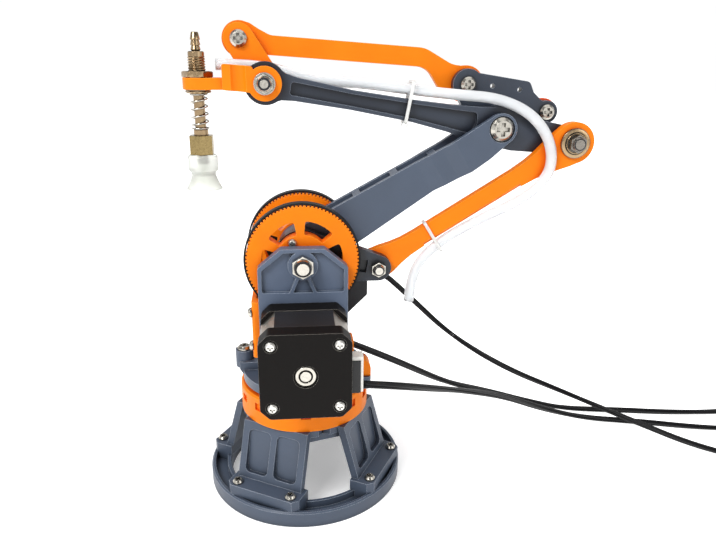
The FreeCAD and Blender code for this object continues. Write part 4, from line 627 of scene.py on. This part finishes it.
# %% Finish of the solids
FINISH = {
    orange_pla_lying: ["upper_link", "drive_link", "tool_bracket", "near_pulley", "far_pulley",
                       "front_cover"],
    orange_pla_standing: ["drum", "cable_guide"],
    shaded_orange_pla: ["level_link"],
    slate_pla_lying: ["lower_arm"],
    slate_pla_standing: ["base_ring", "legs", "top_plate", "turret_floor"],
    lit_slate_pla: ["near_wall"],
    dark_slate_pla: ["triangle_plate", "forearm"],
    crank_shaded_slate_pla: ["crank"],
    black_pla: ["far_wall"],
    zinc_plated_steel: ["side_motor_screws"],
    nickel_plated_steel: ["base_screws", "near_motor_shaft", "far_motor_shaft", "turret_screws",
                          "shoulder_bolt", "level_pivot", "crank_screws", "crank_bolt", "elbow_bolt",
                          "triangle_screws", "wrist_bolts"],
    oiled_steel: ["rear_bolt", "yaw_motor_shaft", "near_motor_pulley", "far_motor_pulley", "crank_bearing",
                  "shoulder_bearings", "elbow_bearings"],
    turned_brass: ["hex_adapter"],
    painted_aluminium: ["side_motor_caps", "yaw_motor_caps"],
    side_stack_steel: ["side_motor_stacks"],
    yaw_stack_steel: ["yaw_motor_stack"],
    belt_rubber: ["belts"],
    # The glide ring is drawn black as painted shade: it stands for the shadowed gap between drum and turret
    # floor.
    black_nylon: ["motor_sockets", "glide_ring"],
    white_nylon: ["lead_plugs"],
    tie_nylon: ["forearm_tie", "link_tie"],
    silicone: ["suction_cup"],
}
for material, names in FINISH.items():
    for name in names:
        mesh = nodes[name].data
        mesh.materials.clear()
        mesh.materials.append(material)
        mesh.polygons.foreach_set("use_smooth", [True] * len(mesh.polygons))
        mesh.set_sharp_from_angle(angle=SHARP)
print("finished", sum(len(names) for names in FINISH.values()), "nodes in", len(FINISH), "materials")

# %% [markdown]
# ## Ties
# A nylon tie is a thin strap pulled round the hose and the bar that carries it. The solids' straps are
# wider than the real ones. A new strap could be swept, but theirs already fit, so each is copied and
# narrowed along its bar.

# %% Ties
TIE_SHARE = 0.66
CRANK_PIN = (-39.3554, 127.8479)  # joint centres as (x, z) in millimetres
REAR_PIN = (-141.1212, 191.4382)
WRIST = (16.3004, 220.0466)
TIES = {"forearm_tie": (WRIST, "forearm"), "link_tie": (CRANK_PIN, "drive_link")}
for name, (bar_end, body) in TIES.items():
    low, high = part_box(name)
    centre = (Vector(low) + Vector(high)) / 2
    along = Vector((bar_end[0] - REAR_PIN[0], 0.0, bar_end[1] - REAR_PIN[1])).normalized()
    narrow = bpy.data.objects.new(name + "_narrow", nodes[name].data.copy())
    for vertex in narrow.data.vertices:
        vertex.co -= along * (vertex.co - centre).dot(along) * (1 - TIE_SHARE)
    bpy.context.collection.objects.link(narrow)
    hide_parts(name)
    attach(narrow, body)
    print(narrow.name, "drawn at", TIE_SHARE, "of its width")

# %% [markdown]
# ## Lock rings of the nuts
# A lock nut has a dark nylon ring pressed into its top, which grips the thread. It could be painted on, but
# its step catches the light, so it is turned as a lathe would: a profile of (radius, height) pairs goes
# round an axis. The same helper makes nuts, since six flats only cut the turned rim back.

# %% Lock rings of the nuts
LATHE_SIDES = 48
LOCK_UNDER, LOCK_OVER = 0.3, 0.12
LOCK_PLAY, LOCK_BREAK = 0.02, 0.1
SHOULDER = (0.0, 135.0)


def turned(bm, profile, origin, axis, flats=None):
    """Adds a profile turned round an axis; flats is a nut's size across its six flats, which cut the rim."""
    turn = Vector(axis).to_track_quat("Z", "Y").to_matrix()
    rings = []
    for r, z in profile:
        ring = []
        for a in angles(LATHE_SIDES):
            rim = min(r, flats / 2 / math.cos(a % (math.pi / 3) - math.pi / 6)) if flats else r
            at = Vector(origin) + turn @ Vector((rim * math.cos(a), rim * math.sin(a), z))
            ring.append(bm.verts.new(at * MM))
        rings.append(ring)
    join_rings(bm, rings + rings[:1])


def lathe(name, profile, origin, axis, material):
    bm = bmesh.new()
    turned(bm, profile, origin, axis)
    return finish_mesh(name, bm, material, sharp_edges=True)


# Pressed nylon: a matt blue-black ring inside the bright nut.
lock_nylon = moulded("pressed_lock_nylon", "0E1016", 0.5, 0.5, 0.08)
# Each row: joint centre, distance along Y, way it faces, height of the nut, radii of the ring, body.
NUTS = {
    "shoulder_near": (SHOULDER, 30.5, 1, 6.0, 3.0, 4.1, "turret"),
    "shoulder_far": (SHOULDER, -30.5, -1, 6.0, 3.0, 4.1, "turret"),
    "crank_near": (CRANK_PIN, 15.0, 1, 5.0, 2.0, 2.7, "crank"),
    "rear_near": (REAR_PIN, 11.7, 1, 4.6, 2.5, 3.1, "rear_pin"),
    "wrist_near": (WRIST, 11.0, 1, 4.8, 2.0, 3.1, "tool_bracket"),
}
for name, ((x, z), y, way, high, r_in, r_out, body) in NUTS.items():
    ring = [(r_in + LOCK_PLAY, high - LOCK_UNDER), (r_in + LOCK_PLAY, high + LOCK_OVER),
            (r_out - LOCK_BREAK, high + LOCK_OVER), (r_out, high - LOCK_UNDER)]
    piece = lathe("insert_" + name, ring, (x, y, z), (0, way, 0), lock_nylon)
    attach(piece, body)
print("lock rings turned:", len(NUTS))

# %% [markdown]
# ## Washers and bearing races
# Two washers lie under the rear nut, and a bearing's race shows round each motor shaft. On the solids these
# steps are flat. A few tenths of a millimetre of relief are enough for a bright rim, so each is a low ring
# from the lathe helper.

# %% Washers and bearing races
WASHERS = [("rear_wide", 10.9, [(5.5, 0.0), (5.8, 0.25), (7.0, 0.25), (7.5, 0.0)]),
           ("rear_small", 11.7, [(4.65, 0.0), (4.8, 0.15), (5.15, 0.15), (5.35, 0.0)])]
for name, y, profile in WASHERS:
    piece = lathe("washer_" + name, profile, (REAR_PIN[0], y, REAR_PIN[1]), (0, 1, 0), nickel_plated_brass)
    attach(piece, "rear_pin")

MOTOR_BACK_Y, MOTOR_Z = 68.45, 94.4
RACE_PROFILE = [(3.3, 0.0), (3.3, 0.2), (3.5, 0.3), (4.6, 0.3), (4.8, 0.15), (4.8, 0.0)]
RACES = {"near": 1, "far": -1}
for name, way in RACES.items():
    at = (0.0, way * MOTOR_BACK_Y, MOTOR_Z)
    piece = lathe("race_" + name, RACE_PROFILE, at, (0, way, 0), nickel_plated_steel)
    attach(piece, "turret")
print("washers turned:", len(WASHERS), "and bearing races:", len(RACES))

# %% [markdown]
# ## Threaded stem
# The suction tool hangs on a hollow stem with a cut thread, and a barb on top for the hose. A Screw
# modifier can wind a thread, but it leaves open ends to close by hand. Here rings of points are stacked,
# and the radius follows a zigzag that climbs one pitch per turn. Above the thread the rings go on as a
# plain profile, up the barb and down the bore.

# %% Threaded stem
STEM_X, STEM_LOW, STEM_FOOT = 48.9004, 212.9966, 2.1
STEM_R, BORE_R = 4.3, 2.75
THREAD_MM, THREAD_DEEP = 1.2, 0.5
THREAD_SIDES, THREAD_STEPS = 48, 8
THREAD_TOP = 19.2
BARB_PROFILE = [(3.9, 19.2), (3.9, 21.2), (3.5, 21.6), (1.9, 21.6), (2.4, 22.4), (1.9, 24.2), (2.4, 24.4),
                (1.9, 26.6), (2.4, 26.8), (1.8, 29.9), (1.5, 30.3), (1.1, 30.3), (1.1, 20.5),
                (BORE_R, 20.5), (BORE_R, STEM_FOOT)]


def threaded(name):
    rings = []
    count = int((THREAD_TOP - STEM_FOOT) / THREAD_MM * THREAD_STEPS)
    for i in range(count + 1):
        z = STEM_FOOT + (THREAD_TOP - STEM_FOOT) * i / count
        ring = []
        for k, a in enumerate(angles(THREAD_SIDES)):
            phase = (z / THREAD_MM - k / THREAD_SIDES) % 1.0
            r = STEM_R - THREAD_DEEP * abs(2 * phase - 1)
            ring.append((r * math.cos(a), r * math.sin(a), z))
        rings.append(ring)
    for r, z in BARB_PROFILE:
        rings.append([(r * math.cos(a), r * math.sin(a), z) for a in angles(THREAD_SIDES)])
    bm = bmesh.new()
    corners = []
    for ring in rings:
        corners.append([bm.verts.new(Vector((STEM_X + x, y, STEM_LOW + z)) * MM) for x, y, z in ring])
    join_rings(bm, corners + corners[:1])
    return finish_mesh(name, bm, nickel_plated_brass, sharp_edges=True)


stem = threaded("stem_threaded")
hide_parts("stem")
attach(stem, "tool_bracket")
print("stem with a thread of", THREAD_MM, "mm,", len(stem.data.polygons), "faces")

# %% [markdown]
# ## Nuts on the stem
# A thin nut clamps the bracket's tongue from above, and a washer and a smaller nut from below. A six-sided
# cylinder would have sharp points. A real nut is turned to a cone first, which leaves curved chamfers on
# the flats, and the lathe helper gets the same curves when the flats cut a coned profile.

# %% Nuts on the stem
UPPER_NUT_H, LOWER_NUT_H, WASHER_H = 3.0, 1.2, 0.6
UPPER_FLATS, LOWER_FLATS, WASHER_R = 13.0, 11.0, 6.2
CHAMFER = 0.4
STEM_HANGS = 4.0  # how far the stem's solid reaches below the tongue
SOLID_NUT_H = 2.8  # height of the solid's upper nut, whose foot is the top of the tongue
TONGUE = (STEM_LOW + STEM_HANGS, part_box("stem_nuts")[1][2] / MM - SOLID_NUT_H)
UPWARD = (0, 0, 1)
axis_foot = (STEM_X, 0.0, 0.0)


def hex_profile(flats, low, high):
    corner = flats / math.sqrt(3)
    return [(corner - 2 * CHAMFER, low), (corner, low + CHAMFER), (corner, high - CHAMFER),
            (corner - 2 * CHAMFER, high), (STEM_R, high), (STEM_R, low)]


washer_low = TONGUE[0] - WASHER_H
washer_profile = [(STEM_R, washer_low), (WASHER_R, washer_low), (WASHER_R, TONGUE[0]), (STEM_R, TONGUE[0])]
bm = bmesh.new()
turned(bm, hex_profile(UPPER_FLATS, TONGUE[1], TONGUE[1] + UPPER_NUT_H), axis_foot, UPWARD, UPPER_FLATS)
turned(bm, washer_profile, axis_foot, UPWARD)
turned(bm, hex_profile(LOWER_FLATS, washer_low - LOWER_NUT_H, washer_low), axis_foot, UPWARD, LOWER_FLATS)
nuts = finish_mesh("stem_nuts_chamfered", bm, nickel_plated_brass, sharp_edges=True)
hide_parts("stem_nuts")
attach(nuts, "tool_bracket")
print("nuts clamp a tongue", round(TONGUE[1] - TONGUE[0], 2), "mm thick")

# %% [markdown]
# ## Sliding rod
# The rod carries the cup and slides up into the stem when the cup touches down. Its collar holds the
# spring. The plain solid would do for its shape, but it is thinner than the real rod, so the profile is
# turned again at the right size.

# %% Sliding rod
ROD_R, ROD_TIP_R, COLLAR_R = 2.7, 2.25, 3.6
COLLAR_BREAK = 0.3
CENTRE_R = 0.01
ROD_LOW, ROD_HIGH = (corner[2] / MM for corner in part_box("plunger_rod"))
COLLAR = (STEM_LOW - 18.0, STEM_LOW - 15.0)
rod_profile = [(CENTRE_R, ROD_LOW), (ROD_TIP_R, ROD_LOW), (ROD_TIP_R, COLLAR[0]), (COLLAR_R, COLLAR[0]),
               (COLLAR_R, COLLAR[1] - COLLAR_BREAK), (COLLAR_R - COLLAR_BREAK, COLLAR[1]), (ROD_R, COLLAR[1]),
               (ROD_R, ROD_HIGH), (CENTRE_R, ROD_HIGH)]
rod = lathe("plunger_turned", rod_profile, axis_foot, UPWARD, nickel_plated_brass)
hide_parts("plunger_rod")
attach(rod, "plunger")
print("rod", round(ROD_HIGH - ROD_LOW, 1), "mm long")

# %% [markdown]
# ## Spring
# A coil of steel wire pushes the rod down again. Its end coils lie flat, as on any bought compression
# spring, so the helix climbs only between them. It has to shorten as the rod goes up, but here it is built
# at one length and rides on the bracket.

# %% Spring
COIL_R, COIL_WIRE, COIL_TURNS = 4.05, 0.42, 5.7
COIL_FLAT = 0.11  # share of the wire that lies flat at each end
COIL_STEPS, WIRE_AROUND = 170, 8
spring_top = STEM_LOW + STEM_FOOT
coil_low, coil_high = COLLAR[1] + COIL_WIRE, spring_top - COIL_WIRE
coil = []
for i in range(COIL_STEPS + 1):
    turn_at = 2 * math.pi * COIL_TURNS * i / COIL_STEPS
    climb = min(max((i / COIL_STEPS - COIL_FLAT) / (1 - 2 * COIL_FLAT), 0.0), 1.0)
    coil.append(Vector((STEM_X + COIL_R * math.cos(turn_at), COIL_R * math.sin(turn_at),
                        coil_low + (coil_high - coil_low) * climb)) * MM)
bm = bmesh.new()
add_tube(bm, coil, frames_along(coil), lambda i: circle(COIL_WIRE, WIRE_AROUND), True)
spring = finish_mesh("spring_coil", bm, nickel_plated_steel)
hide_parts("spring")
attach(spring, "tool_bracket")
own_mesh(spring)

# %% [markdown]
# ## Table
# The arm stands on a white table that fades into the background without a line. More lamps would whiten the
# table, but they would bleach the arm too. So the table itself glows for the rays that are seen, whether
# straight from the camera or by way of a mirror or glass. The glow is weaker near the base, where the arm's
# shadow has to show.

# %% Table
TABLE_R = 6.0
TABLE_SIDES = 96
TABLE_CLOUD = 3.0  # a third of a metre: only a faint unevenness in a large board
GLOW_SPAN = {"From Min": 0.05, "From Max": 0.16, "To Min": 0.3, "To Max": 0.8}
WHITE = linear("FFFFFF")


def seen(tree):
    """1 for a ray from the camera, or by way of a mirror or glass, and 0 for light that falls on the arm."""
    ray = add(tree, "ShaderNodeLightPath")
    mirrored = add(tree, "ShaderNodeMath", operation="MAXIMUM",
                   links={0: ray.outputs["Is Camera Ray"], 1: ray.outputs["Is Glossy Ray"]})
    through = add(tree, "ShaderNodeMath", operation="MAXIMUM",
                  links={0: mirrored.outputs["Value"], 1: ray.outputs["Is Transmission Ray"]})
    return through.outputs["Value"]


bpy.ops.mesh.primitive_circle_add(vertices=TABLE_SIDES, radius=TABLE_R, fill_type="NGON")
table = bpy.context.object
table.name = "floor"
# Matt white paint on board: no mirror image of the arm, only its soft shadow.
white_paint, tree, shader = new_material("matt_white_painted_board", Roughness=0.6, Emission_Color=WHITE)
place = add(tree, "ShaderNodeTexCoord").outputs["Object"]
cloud = add(tree, "ShaderNodeTexNoise", {"Scale": TABLE_CLOUD}, {"Vector": place})
tint = add(tree, "ShaderNodeMapRange", {"To Min": 0.93, "To Max": 0.96}, {"Value": cloud.outputs["Fac"]})
away = add(tree, "ShaderNodeVectorMath", links={0: place}, operation="LENGTH")
glow = add(tree, "ShaderNodeMapRange", GLOW_SPAN, {"Value": away.outputs["Value"]})
shown = add(tree, "ShaderNodeMath", links={0: glow.outputs["Result"], 1: seen(tree)}, operation="MULTIPLY")
tree.links.new(tint.outputs["Result"], shader.inputs["Base Color"])
tree.links.new(shown.outputs["Value"], shader.inputs["Emission Strength"])
table.data.materials.append(white_paint)
print("table", 2 * TABLE_R, "m across")

# %% [markdown]
# ## Surround
# A photo tent is white all round and dimmer overhead. An environment picture could give that, but a few Map
# Range nodes on the direction do it with no file. What is seen is white at the horizon, and dim overhead on
# the camera's side, so that metal keeps dark parts to reflect. The light that falls on the arm is plain, a
# little stronger from behind.

# %% Surround
SIDE_SPAN = {"From Min": -0.1, "From Max": 0.6}  # Y of the direction, from behind to the camera's side
LEVEL_SPAN = {"From Min": 0.32, "From Max": 0.55}  # Z of the direction, from the horizon to overhead
HORIZON = 1.02
scene = bpy.context.scene
scene.view_settings.view_transform = "Standard"
world = bpy.data.worlds.new("photo_tent")
world.use_nodes = True
sky = world.node_tree
direction = add(sky, "ShaderNodeTexCoord")
split = add(sky, "ShaderNodeSeparateXYZ", links={"Vector": direction.outputs["Generated"]})
overhead = add(sky, "ShaderNodeMapRange", {**SIDE_SPAN, "To Min": 0.35, "To Max": 0.16},
               {"Value": split.outputs["Y"]}, interpolation_type="SMOOTHSTEP")
backdrop = add(sky, "ShaderNodeMapRange", {**LEVEL_SPAN, "To Min": HORIZON},
               {"Value": split.outputs["Z"], "To Max": overhead.outputs["Result"]},
               interpolation_type="SMOOTHSTEP")
plain = add(sky, "ShaderNodeMapRange", {**SIDE_SPAN, "To Min": 0.72, "To Max": 0.52},
            {"Value": split.outputs["Y"]}, interpolation_type="SMOOTHSTEP")
both = add(sky, "ShaderNodeMapRange", links={"Value": seen(sky), "To Min": plain.outputs["Result"],
                                             "To Max": backdrop.outputs["Result"]})
background = sky.nodes["Background"]
background.inputs["Color"].default_value = WHITE
sky.links.new(both.outputs["Result"], background.inputs["Strength"])
scene.world = world
print("surround", HORIZON, "at the horizon")

# %% [markdown]
# ## Lamps
# One large soft lamp above the camera's left shoulder gives the shapes their light and shade, a wide one
# overhead lifts the top faces, and a weak one on the right opens the shadows. Point lamps would draw hard
# edges and burn spots on the screws, so all three are area lamps.

# %% Lamps
ARM_MIDDLE = (-0.03, 0.0, 0.12)
# Each row: name, place, what it is aimed at, size in metres, power in watts.
LAMPS = [("key", (0.55, 0.65, 0.95), ARM_MIDDLE, 0.5, 11.5),
         ("top", (-0.2, -0.2, 1.5), (-0.05, 0.0, 0.1), 1.2, 4.5),
         ("fill", (-0.9, 0.8, 0.6), ARM_MIDDLE, 0.7, 3.0)]
for name, place, aim, size, power in LAMPS:
    data = bpy.data.lights.new(name, "AREA")
    data.size = size
    data.energy = power
    lamp = bpy.data.objects.new(name, data)
    way = Vector(aim) - Vector(place)
    lamp.matrix_world = Matrix.Translation(Vector(place)) @ way.to_track_quat("-Z", "Y").to_matrix().to_4x4()
    bpy.context.collection.objects.link(lamp)
    print(name, "lamp", power, "W")
